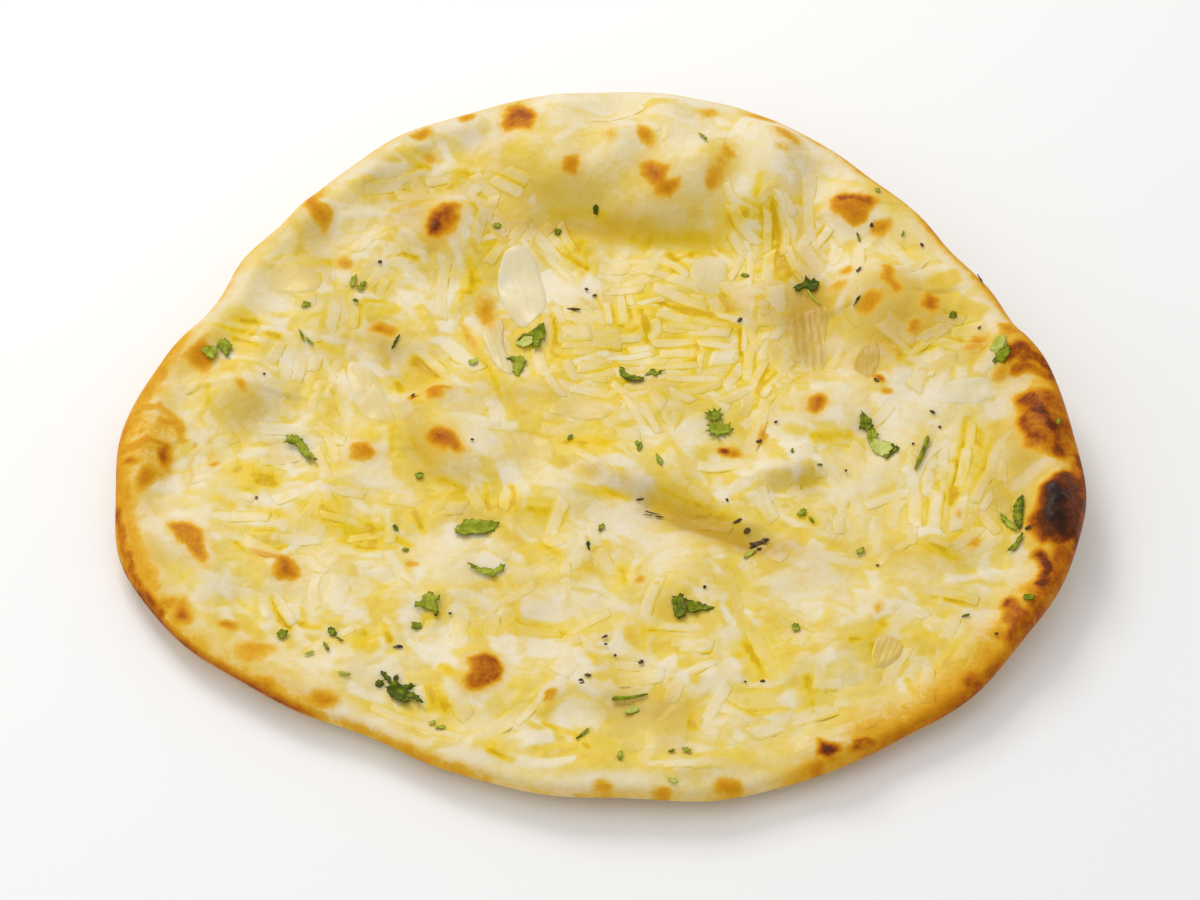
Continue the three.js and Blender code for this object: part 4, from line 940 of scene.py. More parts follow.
def stitchRings(faces, inner, innerCount, outer, outerCount):
    i = j = 0
    while i < innerCount or j < outerCount:
        if j == outerCount or (i < innerCount and (i + 0.5) / innerCount < (j + 0.5) / outerCount):
            faces.append((inner + i % innerCount, outer + j % outerCount, inner + (i + 1) % innerCount))
            i += 1
        else:
            faces.append((inner + i % innerCount, outer + j % outerCount, outer + (j + 1) % outerCount))
            j += 1


def ringAngles(count):
    return np.arange(count) / count * 2 * math.pi


def discPoints(rings, height):
    xs, ys = [np.zeros(1)], [np.zeros(1)]
    for k in range(rings):
        angle = ringAngles(6 * (k + 1))
        r = (rimRadius(angle) - breadForm["rimRounding"]) * (k + 1) / rings
        xs.append(r * np.cos(angle))
        ys.append(r * np.sin(angle))
    x, y = np.concatenate(xs), np.concatenate(ys)
    return np.stack([x, y, height(x, y)], 1)


def discFaces(faces, rings, start):
    inner = start
    for k in range(rings):
        outer = start + 1 + 3 * k * (k + 1)
        stitchGrowing(faces, inner, outer, k)
        inner = outer
    return inner


underside = {
    "dimples": ((0.35, 14, 12), (0.2, 4, 13)),  # height, cell and number of the pattern
    "dimplesFrom": (3, 12),
    "pale": 0.16,
    "scorch": 0.85,
    "cream": 0.5,
}


def undersideHeight(x, y):
    dimples = sum(height * softPattern(x, y, cell, number) for height, cell, number in underside["dimples"])
    return bottomHeight(x, y) + dimples * easeBetween(insetOf(x, y), *underside["dimplesFrom"])


def addObject(name, data):
    made = bpy.data.objects.new(name, data)
    bpy.context.scene.collection.objects.link(made)
    return made


def addAttributes(mesh, columns):
    for key, values in columns.items():
        mesh.attributes.new(key, "FLOAT", "POINT").data.foreach_set("value", np.asarray(values, np.float32))


def makeObject(name, points, faces, attributes):
    mesh = bpy.data.meshes.new(name)
    mesh.from_pydata(inFrame(points).tolist(), [], [tuple(int(i) for i in face) for face in faces])
    mesh.update()
    addAttributes(mesh, attributes)
    mesh.polygons.foreach_set("use_smooth", [True] * len(mesh.polygons))
    return addObject(name, mesh)


def creamAt(x, y):  # a shift presses the painted tone towards one end, and keeps its pattern
    cream = np.clip(paintedAt("cream", x, y), 0, 1)
    shift = paint["shift"] * sumPlaces(x, y, toneAndLightShifts)
    kept = np.exp(-np.abs(shift))
    return np.where(shift > 0, 1 - (1 - cream) * kept, cream * kept)


# Painted shade: how much olive shade each place gets, a little uneven.
def paintedShadeAt(x, y):
    return np.clip(sumPlaces(x, y, paintedShadePlaces) * (0.75 + 0.5 * softPattern(x, y, 6, 40)), 0, 1)


# The yellow along the slivers' edges is partly butter and partly painted warm shade in the crevice.
def seepAt(x, y):  # butter, and more of it along the slivers' edges
    butter, bare = butterAt(x, y), bareAt(x, y)
    edging = paintedAt("seam", x, y) * (0.18 + 0.8 * butter + 0.42 * crispAt(x, y))
    return butter * (1 - 0.25 * bare) + edging * (1 - 0.8 * bare)


# The thin stain is painted olive shade, not thinner dough.
def stainsAt(x, y):
    return {"butter": seepAt(x, y), "cream": creamAt(x, y), "thin": paintedShadeAt(x, y), "baking": heatAt(x, y)}


def scorchAt(x, y):  # dark dimples of the underside
    places, grain = softPattern(x, y, 11, 14), softPattern(x, y, 3.4, 15)
    return np.clip(places * 2.6 - 1.25, 0, 1) * np.clip(grain * 2.4 - 0.55, 0, 1)


def makeBread():
    rings, steps = breadMesh["topRings"], breadMesh["roundingSteps"]
    top = discPoints(rings, skinHeight)
    faces, underFaces, layers = [], [], [top]
    last, start, rimCount = discFaces(faces, rings, 0), len(top), 6 * rings
    angle = ringAngles(rimCount)
    edgeX, edgeY, edgeTop = top[last:].T
    edgeBottom = bottomHeight(edgeX, edgeY)
    for step in range(1, 2 * steps):
        roll = math.pi * (0.5 - step / (2 * steps))
        out = breadForm["rimRounding"] * math.cos(roll)
        z = edgeBottom + (edgeTop - edgeBottom) * (0.5 + 0.5 * math.sin(roll))
        layers.append(np.stack([edgeX + out * np.cos(angle), edgeY + out * np.sin(angle), z], 1))
        stitchRings(faces, last, rimCount, start, rimCount)
        last, start = start, start + rimCount
    layers.append(discPoints(breadMesh["bottomRings"], undersideHeight))
    underEdge = discFaces(underFaces, breadMesh["bottomRings"], start)
    stitchRings(underFaces, underEdge, 6 * breadMesh["bottomRings"], last, rimCount)
    points = np.concatenate(layers)
    x, y = points[:, 0], points[:, 1]
    below = np.arange(len(points)) >= start
    stains = stainsAt(x, y)
    return makeObject("naan_crumb", points, faces + [face[::-1] for face in underFaces], {
        "baking": np.where(below, underside["pale"] + underside["scorch"] * scorchAt(x, y), stains["baking"]),
        "butter": np.where(below, 0, stains["butter"] * easeBetween(insetOf(x, y), 1, 9)),
        "cream": np.where(below, underside["cream"], stains["cream"]),
        # thin: the painted olive shade on top; none below
        "thin": np.where(below, 0, stains["thin"]),
    })


bread = makeBread()
print("bread mesh:", len(bread.data.polygons), "triangles")


# Shader parts.
def addNode(tree, kind, inputs=None, settings=None):
    made = tree.nodes.new(kind)
    for key, value in (settings or {}).items():
        setattr(made, key, value)
    for key, value in (inputs or {}).items():
        if isinstance(value, bpy.types.NodeSocket):
            tree.links.new(value, made.inputs[key])
        else:
            made.inputs[key].default_value = value
    return made


def feed(tree, node, sockets):
    for name, value in sockets.items():
        tree.links.new(value, node.inputs[name])


def maths(tree, operation, first, second=0.0, clamp=False):
    inputs = {0: first} if operation in ("SINE", "COSINE", "ABSOLUTE") else {0: first, 1: second}
    return addNode(tree, "ShaderNodeMath", inputs, {"operation": operation, "use_clamp": clamp}).outputs[0]


def times(tree, first, *rest):
    for factor in rest:
        first = maths(tree, "MULTIPLY", first, factor)
    return first


def plus(tree, first, *rest):
    for term in rest:
        first = maths(tree, "ADD", first, term)
    return first


def mixColours(tree, factor, first, second):
    return addNode(tree, "ShaderNodeMix", {0: factor, 6: first, 7: second}, {"data_type": "RGBA"}).outputs[2]


def mixValues(tree, factor, first, second):
    return addNode(tree, "ShaderNodeMix", {0: factor, 2: first, 3: second}).outputs[0]


def remap(tree, value, low, high, toLow=0.0, toHigh=1.0):
    inputs = {"Value": value, "From Min": low, "From Max": high, "To Min": toLow, "To Max": toHigh}
    return addNode(tree, "ShaderNodeMapRange", inputs).outputs[0]


def noise(tree, position, size, detail=2.0, roughness=0.5, distortion=0.0):  # size in millimetres
    inputs = {"Vector": position, "Scale": 1000 / size, "Detail": detail, "Roughness": roughness}
    return addNode(tree, "ShaderNodeTexNoise", inputs | {"Distortion": distortion}).outputs["Fac"]


def colour(red, green, blue):  # 0 to 255, as an eye sees them
    linear = [c / 255 / 12.92 if c <= 10 else ((c / 255 + 0.055) / 1.055) ** 2.4 for c in (red, green, blue)]
    return (*linear, 1.0)


def ramp(tree, value, stops):
    made = addNode(tree, "ShaderNodeValToRGB", {"Fac": value})
    elements = made.color_ramp.elements
    while len(elements) < len(stops):
        elements.new(0.5)
    for element, (place, tint) in zip(elements, stops):
        element.position = place
        element.color = tint
    return made.outputs["Color"]


def newGroup(name, inputs, outputs):
    tree = bpy.data.node_groups.new(name, "ShaderNodeTree")
    for label, kind, value in inputs:
        socket = tree.interface.new_socket(label, in_out="INPUT", socket_type=kind)
        if value is not None:
            socket.default_value = value
    for label, kind in outputs:
        tree.interface.new_socket(label, in_out="OUTPUT", socket_type=kind)
    return tree, tree.nodes.new("NodeGroupInput"), tree.nodes.new("NodeGroupOutput")


bakeColours = {
    "ramp": (
      (0.0, colour(230, 198, 108)),
      (0.12, colour(230, 184, 62)),
      (0.22, colour(222, 164, 30)),
      (0.32, colour(210, 140, 6)),
      (0.42, colour(190, 112, 2)),
      (0.52, colour(160, 80, 2)),
      (0.64, colour(116, 52, 10)),
      (0.8, colour(72, 34, 12)),
      (1.0, colour(38, 22, 12)),
    ),
    "full": 0.3,
    "wander": (0.55, 1.21),  # of the colours, where the bread is golden and where it is dark
}


def makeBakeGroup():  # browning: heat 0 is raw, 1 brown, 2 char
    tree, given, result = newGroup("ovenBrowning", [
        ("Heat", "NodeSocketFloat", 0.0), ("Ground", "NodeSocketColor", None),
        ("Position", "NodeSocketVector", None),
    ], [("Color", "NodeSocketColor"), ("Charred", "NodeSocketFloat")])
    given = given.outputs
    coarse = maths(tree, "SUBTRACT", noise(tree, given["Position"], 5.5, 3.0, 0.6), 0.5)
    fine = maths(tree, "SUBTRACT", noise(tree, given["Position"], 1.3, 2.0, 0.6), 0.5)
    restless = remap(tree, given["Heat"], 0.7, 1.2, *bakeColours["wander"])
    begun = remap(tree, given["Heat"], 0.02, 0.3)
    shift = times(tree, plus(tree, coarse, times(tree, fine, 0.5)), restless, begun)
    heat = plus(tree, given["Heat"], shift)
    tint = ramp(tree, times(tree, heat, 0.5), bakeColours["ramp"])
    browned = remap(tree, heat, 0.02, bakeColours["full"])
    feed(tree, result, {
        "Color": mixColours(tree, browned, given["Ground"], tint), "Charred": remap(tree, heat, 1.1, 1.6),
    })
    return tree


butterColours = {
    "thin": colour(234, 208, 92),
    "bright": colour(232, 197, 26),
    # deep: thick butter, and the painted golden shade where the strongest rows lie in hollows
    "deep": colour(216, 174, 8),
    # the olive of painted shade in hollows
    "shadeOlive": colour(190, 150, 44),
    "clear": 0.16,
}


# Besides butter, this group mixes in olive as painted shade, by its second input.
def makeButterGroup():  # butter stains what it lies on, and makes it glossy
    tree, given, result = newGroup("butterGlaze", [
        ("Butter", "NodeSocketFloat", 0.0), ("PaintedShade", "NodeSocketFloat", 0.0),
        ("Ground", "NodeSocketColor", None), ("Position", "NodeSocketVector", None),
    ], [("Color", "NodeSocketColor"), ("Wet", "NodeSocketFloat")])
    given = given.outputs
    streak = noise(tree, given["Position"], 4)
    amount = times(tree, given["Butter"], remap(tree, streak, 0.3, 0.7, 0.75, 1.2))
    tint = given["Ground"]
    for share, name in (
        (remap(tree, amount, butterColours["clear"], 0.5, 0.0, 0.85), "thin"),
        (remap(tree, amount, 0.42, 0.85), "bright"), (remap(tree, amount, 0.9, 1.15), "deep"),
        (times(tree, given["PaintedShade"], 0.85), "shadeOlive"),
    ):
        tint = mixColours(tree, share, tint, butterColours[name])
    feed(tree, result, {"Color": tint, "Wet": remap(tree, amount, 0.2, 0.9, 0.05, 1.0)})
    return tree


groundColours = (
    (0.0, colour(226, 190, 60)),
    (0.35, colour(231, 204, 106)),
    (0.7, colour(235, 218, 168)),
    (1.0, colour(237, 226, 198)),
)


def makeGroundGroup():  # the crumb's own colour, from pale yellow to creamy white
    tree, given, result = newGroup("crumbGround", [
        ("Cream", "NodeSocketFloat", 0.5), ("Position", "NodeSocketVector", None),
    ], [("Color", "NodeSocketColor")])
    mottle = remap(tree, noise(tree, given.outputs["Position"], 4, 4.0, 0.6, 0.8), 0.3, 0.7, -0.16, 0.16)
    cream = maths(tree, "ADD", given.outputs["Cream"], mottle, clamp=True)
    feed(tree, result, {"Color": ramp(tree, cream, groundColours)})
    return tree


bakeGroup = makeBakeGroup()
butterGroup = makeButterGroup()
groundGroup = makeGroundGroup()


def newMaterial(name, constants):
    material = bpy.data.materials.new(name)
    material.use_nodes = True
    tree = material.node_tree
    shader = tree.nodes["Principled BSDF"]
    for socket, value in constants.items():
        shader.inputs[socket].default_value = value
    position = addNode(tree, "ShaderNodeTexCoord").outputs["Object"]
    return material, tree, shader, position


def readAttribute(tree, name):
    return addNode(tree, "ShaderNodeAttribute", settings={"attribute_name": name}).outputs["Fac"]


def useGroup(tree, group, inputs):
    return addNode(tree, "ShaderNodeGroup", inputs, {"node_tree": group})


def bumpFrom(tree, height, distance, strength):
    inputs = {"Height": height, "Distance": distance, "Strength": strength}
    return addNode(tree, "ShaderNodeBump", inputs).outputs[0]


def groundUnder(tree, position):
    inputs = {"Cream": readAttribute(tree, "cream"), "Position": position}
    return useGroup(tree, groundGroup, inputs).outputs["Color"]


# Painted olive shade is mixed in along with the butter.
def glazed(tree, position, ground, butter):  # butter and browning over a ground colour
    inputs = {"Butter": butter, "PaintedShade": readAttribute(tree, "thin"), "Ground": ground, "Position": position}
    buttered = useGroup(tree, butterGroup, inputs).outputs
    inputs = {"Heat": readAttribute(tree, "baking"), "Ground": buttered["Color"], "Position": position}
    baked = useGroup(tree, bakeGroup, inputs).outputs
    return baked["Color"], buttered["Wet"], baked["Charred"]


doughLook = {
    "Subsurface Weight": 0.2, "Subsurface Radius": (1.0, 0.7, 0.4), "Subsurface Scale": 0.0014,
    "Specular IOR Level": 0.1, "Coat Roughness": 0.25, "Coat IOR": 1.4,
}


def doughMaterial():
    material, tree, shader, position = newMaterial("bakedDough", doughLook)
    tint, wet, charred = glazed(tree, position, groundUnder(tree, position), readAttribute(tree, "butter"))
    rough = mixValues(tree, charred, remap(tree, wet, 0.0, 1.0, 0.52, 0.3), 0.34)
    pores = times(tree, noise(tree, position, 2.4, 3.0, 0.6), 0.7)
    pores = plus(tree, pores, times(tree, noise(tree, position, 0.7, 2.0, 0.6), 0.3))
    blisters = times(tree, noise(tree, position, 5), charred, 2.4)
    feed(tree, shader, {
        "Base Color": tint, "Roughness": rough,
        "Coat Weight": maths(tree, "MAXIMUM", times(tree, wet, 0.14), times(tree, charred, 0.08)),
        "Normal": bumpFrom(tree, plus(tree, pores, blisters), 0.0007, 0.5),
    })
    return material


onionLook = {
    "white": colour(236, 223, 188),
    "yellow": colour(228, 197, 100),
    "shader": {"Specular IOR Level": 0.2, "Coat Roughness": 0.25, "Coat IOR": 1.4},
}


def onionMaterial():
    material, tree, shader, position = newMaterial("onionFlesh", onionLook["shader"])
    tone, butter, cloudy = (readAttribute(tree, name) for name in ("tone", "butter", "cloudy"))
    beside, up = maths(tree, "ABSOLUTE", readAttribute(tree, "across")), readAttribute(tree, "up")
    mottle = remap(tree, noise(tree, position, 4, 3.0, 0.6), 0.3, 0.7, -0.25, 0.25)
    toned = maths(tree, "ADD", tone, mottle, clamp=True)
    own = mixColours(tree, toned, onionLook["white"], onionLook["yellow"])
    # The sides and foot take butter's yellow even where there is none: painted warm shade where the sliver
    # meets the bread, besides the butter.
    rim = maths(tree, "MAXIMUM", remap(tree, beside, 0.5, 0.95), remap(tree, up, 0.8, 0.1))
    opaque = times(tree, cloudy, maths(tree, "SUBTRACT", 1.0, rim))
    buttery = times(tree, butter, 0.8)
    stain = plus(tree, buttery, times(tree, rim, plus(tree, buttery, 0.3)))
    tint, wet, _ = glazed(tree, position, mixColours(tree, opaque, groundUnder(tree, position), own), stain)
    feed(tree, shader, {
        "Base Color": tint, "Coat Weight": times(tree, wet, 0.14),
        "Roughness": remap(tree, mottle, -0.25, 0.25, 0.32, 0.45),
        "Normal": bumpFrom(tree, noise(tree, position, 1.6, 3.0, 0.6), 0.0005, 0.4),
    })
    return material


dough = doughMaterial()
onionFlesh = onionMaterial()
bread.data.materials.append(dough)
print("materials for dough and onion made")


# One sliver's form: stations along it, and a flat section with rounded shoulders and a foot in the dough.
sliverForm = {
    "stations": (  # along, width, height, sunk
      (-1, 0.7, 0, 0.12), (-0.9, 0.95, 0.75, 0), (-0.55, 1, 1, 0), (0, 1, 1, 0), (0.55, 1, 1, 0),
      (0.9, 0.95, 0.75, 0), (1, 0.7, 0, 0.12),
    ),
    "section": (  # across, up
      (-1, -1), (-1.03, -0.12), (-0.88, 0.4), (-0.62, 0.88), (0, 1), (0.62, 0.88), (0.88, 0.4),
      (1.03, -0.12), (1, -1),
    ),
}


def makeSliverForm():
    stations, section = sliverForm["stations"], sliverForm["section"]
    points = [
        (along, across * wide, min(up, 0) + max(up, 0) * high - sunk)
        for along, wide, high, sunk in stations for across, up in section
    ]
    count, total = len(section), len(points)
    faces = [
        (a + c, a + count + c, a + count + (c + 1) % count, a + (c + 1) % count)
        for a in range(0, total - count, count) for c in range(count)
    ]
    faces += [tuple(range(count)), tuple(reversed(range(total - count, total)))]
    mesh = bpy.data.meshes.new("sliverForm")
    mesh.from_pydata(points, [], faces)
    addAttributes(mesh, dict(zip(("along", "across", "up"), np.transpose(points))))
    return addObject("sliverForm", mesh)


sliverPoint = {"thickness": 0.15, "foot": 1.0, "slant": 0.6}


def sliverTree():  # lays one sliver at each point, bends it, and presses it onto the bread's skin
    tree = bpy.data.node_groups.new("laySlivers", "GeometryNodeTree")
    for label, kind in (
        ("Geometry", "Geometry"), ("Sliver", "Object"), ("Bread", "Object"), ("Finish", "Material"),
        ("Thickness", "Float"), ("Foot", "Float"), ("Slant", "Float"),
    ):
        tree.interface.new_socket(label, in_out="INPUT", socket_type="NodeSocket" + kind)
    tree.interface.new_socket("Geometry", in_out="OUTPUT", socket_type="NodeSocketGeometry")
    given, result = tree.nodes.new("NodeGroupInput").outputs, tree.nodes.new("NodeGroupOutput")

    def field(name):
        settings = {"data_type": "FLOAT"}
        return addNode(tree, "GeometryNodeInputNamedAttribute", {"Name": name}, settings).outputs[0]

    def geometryOf(name):
        return addNode(tree, "GeometryNodeObjectInfo", {"Object": given[name]}).outputs["Geometry"]

    pairing = {"Points": given["Geometry"], "Instance": geometryOf("Sliver")}
    placed = addNode(tree, "GeometryNodeInstanceOnPoints", pairing)
    real = addNode(tree, "GeometryNodeRealizeInstances", {"Geometry": placed.outputs["Instances"]})
    along, up, turn, bend = (field(name) for name in ("along", "up", "turn", "bend"))
    halfLength = field("halfLength")
    heading = plus(tree, turn, times(tree, bend, along))
    half = times(tree, field("halfWidth"), field("across"))
    reach = plus(tree, times(tree, halfLength, along), times(tree, half, field("slant"), given["Slant"]))
    bow = times(tree, halfLength, 0.5, bend, along, along)
    cosTurn, sinTurn = maths(tree, "COSINE", turn), maths(tree, "SINE", turn)
    x = plus(tree, field("middleX"), times(tree, reach, cosTurn), times(tree, bow, sinTurn, -1.0),
             times(tree, half, maths(tree, "SINE", heading), -1.0))
    y = plus(tree, field("middleY"), times(tree, reach, sinTurn), times(tree, bow, cosTurn),
             times(tree, half, maths(tree, "COSINE", heading)))
    above = addNode(tree, "ShaderNodeCombineXYZ", {"X": x, "Y": y, "Z": 0.1}).outputs[0]
    hit = addNode(tree, "GeometryNodeRaycast", {
        "Target Geometry": geometryOf("Bread"), "Source Position": above,
        "Ray Direction": (0.0, 0.0, -1.0), "Ray Length": 1.0,
    })
    skin = addNode(tree, "ShaderNodeSeparateXYZ", {"Vector": hit.outputs["Hit Position"]}).outputs["Z"]
    isTop = maths(tree, "GREATER_THAN", up, 0.0)
    foot = times(tree, maths(tree, "SUBTRACT", 1.0, isTop), up, given["Foot"])
    raised = plus(tree, times(tree, up, given["Thickness"]), field("lift"), times(tree, field("tilt"), along))
    z = plus(tree, skin, foot, times(tree, isTop, raised))
    place = addNode(tree, "ShaderNodeCombineXYZ", {"X": x, "Y": y, "Z": z}).outputs[0]
    moved = addNode(tree, "GeometryNodeSetPosition", {"Geometry": real.outputs[0], "Position": place})
    smooth = addNode(tree, "GeometryNodeSetShadeSmooth", {"Geometry": moved.outputs[0]})
    finish = {"Geometry": smooth.outputs[0], "Material": given["Finish"]}
    finished = addNode(tree, "GeometryNodeSetMaterial", finish)
    feed(tree, result, {"Geometry": finished.outputs[0]})
    return tree


def laySlivers(name, rows, tree, form):
    x, y, length, width, turn, bend, lift, tone = rows.T
    n = np.arange(len(rows))
    places = inFrame(np.stack([x, y, 0 * x], 1))
    mesh = bpy.data.meshes.new(name + "Places")
    mesh.from_pydata(places.tolist(), [], [])
    addAttributes(mesh, {
        "middleX": places[:, 0], "middleY": places[:, 1], "turn": turn, "bend": bend,
        "halfLength": length / 2000, "halfWidth": width / 2000, "lift": lift / 1000,
        "tilt": 0.0002 * np.sin(n * goldenAngle), "slant": np.cos(n * goldenAngle), "tone": tone,
        "cloudy": np.clip(0.25 + 0.35 * np.sin(n * 1.7) ** 2 + 0.35 * crispAt(x, y), 0, 1),
    })
    base = addObject(name + "Base", mesh)
    modifier = base.modifiers.new("lay", "NODES")
    modifier.node_group = tree
    settings = {
        "Sliver": form, "Bread": bread, "Finish": onionFlesh, "Thickness": sliverPoint["thickness"] / 1000,
        "Foot": sliverPoint["foot"] / 1000, "Slant": sliverPoint["slant"],
    }
    for socket in tree.interface.items_tree:
        if socket.in_out == "INPUT" and socket.name in settings:
            modifier[socket.identifier] = settings[socket.name]
    bpy.context.view_layer.update()
    graph = bpy.context.evaluated_depsgraph_get()
    made = addObject(name, bpy.data.meshes.new_from_object(base.evaluated_get(graph), depsgraph=graph))
    bpy.data.objects.remove(base)
    for slotNumber in reversed([i for i, used in enumerate(made.data.materials) if used is None]):
        made.data.materials.pop(index=slotNumber)
    made.data.polygons.foreach_set("material_index", [0] * len(made.data.polygons))
    stainByPlace(made.data)
    return made


# The stains read here include the painted olive shade.
def stainByPlace(mesh):  # butter and browning of a laid piece, read from where each of its points lies
    points = np.empty(len(mesh.vertices) * 3)
    mesh.vertices.foreach_get("co", points)
    x, y, z = (points.reshape(-1, 3) * 1000 - frameShift).T
    addAttributes(mesh, stainsAt(x, y) | {"butter": butterAt(x, y)})


sliverShape = makeSliverForm()
onionSlivers = laySlivers("onion_slivers", slivers, sliverTree(), sliverShape)
bpy.data.objects.remove(sliverShape)
print("sliver mesh:", len(onionSlivers.data.polygons), "faces")


# Larger onion petals: rise in the middle, how plainly each shows, warmth, veins and outline from its place.
# Warmth above 1 darkens a petal towards the deep colour; for petals 3 and 4, which lie in hollows, that is
# painted shade.
petalForms = (
    (0.85, 1, 0.16, 0.2, ((-8, 8), (-6, 16), (-2, 19.6), (3, 18), (6.6, 8), (9, -5), (8.4, -12), (5, -17),
      (1.6, -19.4), (-1, -17), (-5, -8), (-7.8, 0))),
    (0.9, 1, 0.5, 0.5, ((-3, 12), (1, 15), (4, 14), (3.5, 5), (5, -3), (8, -9), (8, -12), (5, -12.5),
      (1, -8), (-2, 0), (-4, 7))),
    (0.6, 0.8, 1.35, 1.3, ((-6, 9), (-1, 13), (5, 12), (6, 6), (4, -4), (5, -11), (1, -16), (-2.5, -14),
      (-7, -7), (-7.5, 0), (-7, 6))),
    (0.5, 0.9, 1.9, 0.5, ((-5, 4), (-2, 7), (2, 7), (2.4, 0), (1, -7), (-2, -10), (-5, -7), (-7, -2))),
    (0.5, 0.8, 0.55, 0.3, ((-7, 10), (-2, 9), (2, 7), (4, 2), (7, -5), (9, -11), (11, -16), (5, -16),
      (-1, -13), (-4, -7), (-6, 0))),
    (0.45, 0.75, 0.8, 0.3, ((-9, 3), (-4, 6.5), (1, 6), (7, 3), (11, -1), (9, -4), (3, -5), (-5, -3),
      (-11, -2))),
    (0.42, 0.65, 0.72, 0.3, ((-4, 7), (-2, 10), (3, 9), (9, 5), (11, 0), (10, -6), (3, -10), (-3, -10),
      (-4.5, -2))),
    (0.35, 0.85, 0.1, 0.2, ((-5.5, 2), (-3, 6), (5, 6.5), (11, 6), (12, 1), (10, -3), (3, -4), (-3, -4),
      (-6, -1))),
    (0.8, 0.85, 1.2, 0.6, ((-1, 6), (3, 6), (6.5, 2), (5.5, -2), (2, -5), (-2, -6), (-4, -3), (-3, 2))),
    (0.36, 0.6, 0.95, 0.15, ((-10.4, 11), (-9.6, 11.6), (-8, 11.8), (-1, 12.8), (10.5, 14), (12.2, 13.6),
      (12.6, 12), (12.6, 3), (12, -3), (11.4, -5), (9, -6), (1, -6.6), (-7, -5.4), (-9.6, -4.6),
      (-10.4, -3), (-11, 3))),
    (0.42, 0.8, 0.22, 0.2, ((-4, 3), (-2, 7), (2, 10), (7, 9), (9, 3), (8, -4), (7, -9), (4, -11), (0, -9),
      (-4, -6), (-5, -1))),
    (0.42, 0.8, 0.7, 0.2, ((-10, 1), (-6, 7), (0, 9), (6, 8), (10, 3), (9, -3), (6, -6), (-1, -6),
      (-7, -5))),
)
petalMesh = {"rings": (0.3, 0.55, 0.74, 0.86, 0.94, 0.985, 1.0), "roundings": 2, "sunk": 1.0, "ripple": 0.5}

onionPetalLook = {
    "white": colour(229, 220, 190),
    "warm": colour(228, 200, 112),
    # deep: the darker colour of petals in hollows, painted shade
    "deep": colour(196, 162, 56),
    "shader": {
        "Subsurface Weight": 0.3, "Subsurface Radius": (1.0, 0.75, 0.4), "Subsurface Scale": 0.0015,
        "Specular IOR Level": 0.3, "Coat Roughness": 0.2, "Coat IOR": 1.4,
    },
}


def petalMaterial():
    material, tree, shader, position = newMaterial("onionPetal", onionPetalLook["shader"])
    warmthAndShade, veins, across = (readAttribute(tree, name) for name in ("warmthAndShade", "veins", "across"))
    shown = readAttribute(tree, "shown")
    cloud = remap(tree, noise(tree, position, 7, 3.0, 0.6), 0.3, 0.7, -0.12, 0.16)
    fibre = maths(tree, "SINE", plus(tree, times(tree, across, 17), times(tree, cloud, 9)))
    lined = times(tree, fibre, veins, 0.13)
    warm = plus(tree, warmthAndShade, cloud, lined)
    pale = maths(tree, "MINIMUM", warm, 1.0, clamp=True)
    own = mixColours(tree, pale, onionPetalLook["white"], onionPetalLook["warm"])
    # above 1, towards deep: painted shade for the petals in hollows
    own = mixColours(tree, remap(tree, warm, 1.0, 2.0), own, onionPetalLook["deep"])
    stain = times(tree, readAttribute(tree, "butter"), remap(tree, shown, 0.0, 1.0, 1.0, 0.25))
    tint, wet, _ = glazed(tree, position, mixColours(tree, shown, groundUnder(tree, position), own), stain)
    relief = plus(tree, times(tree, lined, 2.5), noise(tree, position, 3, 3.0, 0.6))
    feed(tree, shader, {
        "Base Color": tint, "Coat Weight": times(tree, wet, 0.2),
        "Roughness": remap(tree, cloud, -0.12, 0.16, 0.3, 0.42),
        "Normal": bumpFrom(tree, relief, 0.0004, 0.4),
    })
    return material


def roundPatch(outline, middle, rings, topAt, lowAt):  # a closed patch: rings round a middle, above and below
    count = len(outline)
    local = np.concatenate([np.zeros((1, 2))] + [outline * share for share in rings])
    ring = np.concatenate([[0.0]] + [np.full(count, share) for share in rings])
    x, y = (middle + local).T
    points = np.concatenate([np.stack([x, y, heightAt(x, y, ring)], 1) for heightAt in (topAt, lowAt)])
    half, faces = len(local), []
    outer = half - count
    for i in range(count):
        j = (i + 1) % count
        faces += [(0, 1 + i, 1 + j), (half, half + 1 + j, half + 1 + i)]
        for a in range(1, outer, count):
            b = a + count
            faces.append((a + i, b + i, b + j, a + j))
            faces.append((half + a + i, half + a + j, half + b + j, half + b + i))
        faces.append((outer + i, half + outer + i, half + outer + j, outer + j))
    return points, faces, np.tile(local, (2, 1)), np.tile(ring, 2)


def rounded(points, rounds):  # cuts the corners of an outline until it is smooth
    for _ in range(rounds):
        after = np.roll(points, -1, axis=0)
        points = np.stack([0.75 * points + 0.25 * after, 0.25 * points + 0.75 * after], 1).reshape(-1, 2)
    return points


def anticlockwise(corners):
    after = np.roll(corners, -1, axis=0)
    return corners[::-1] if np.sum(corners[:, 0] * after[:, 1] - after[:, 0] * corners[:, 1]) < 0 else corners


def acrossOf(points, shape):  # how far points lie to the side of a shape's long axis
    axis = np.linalg.svd(shape, full_matrices=False)[2][0]
    return points @ np.array([-axis[1], axis[0]])


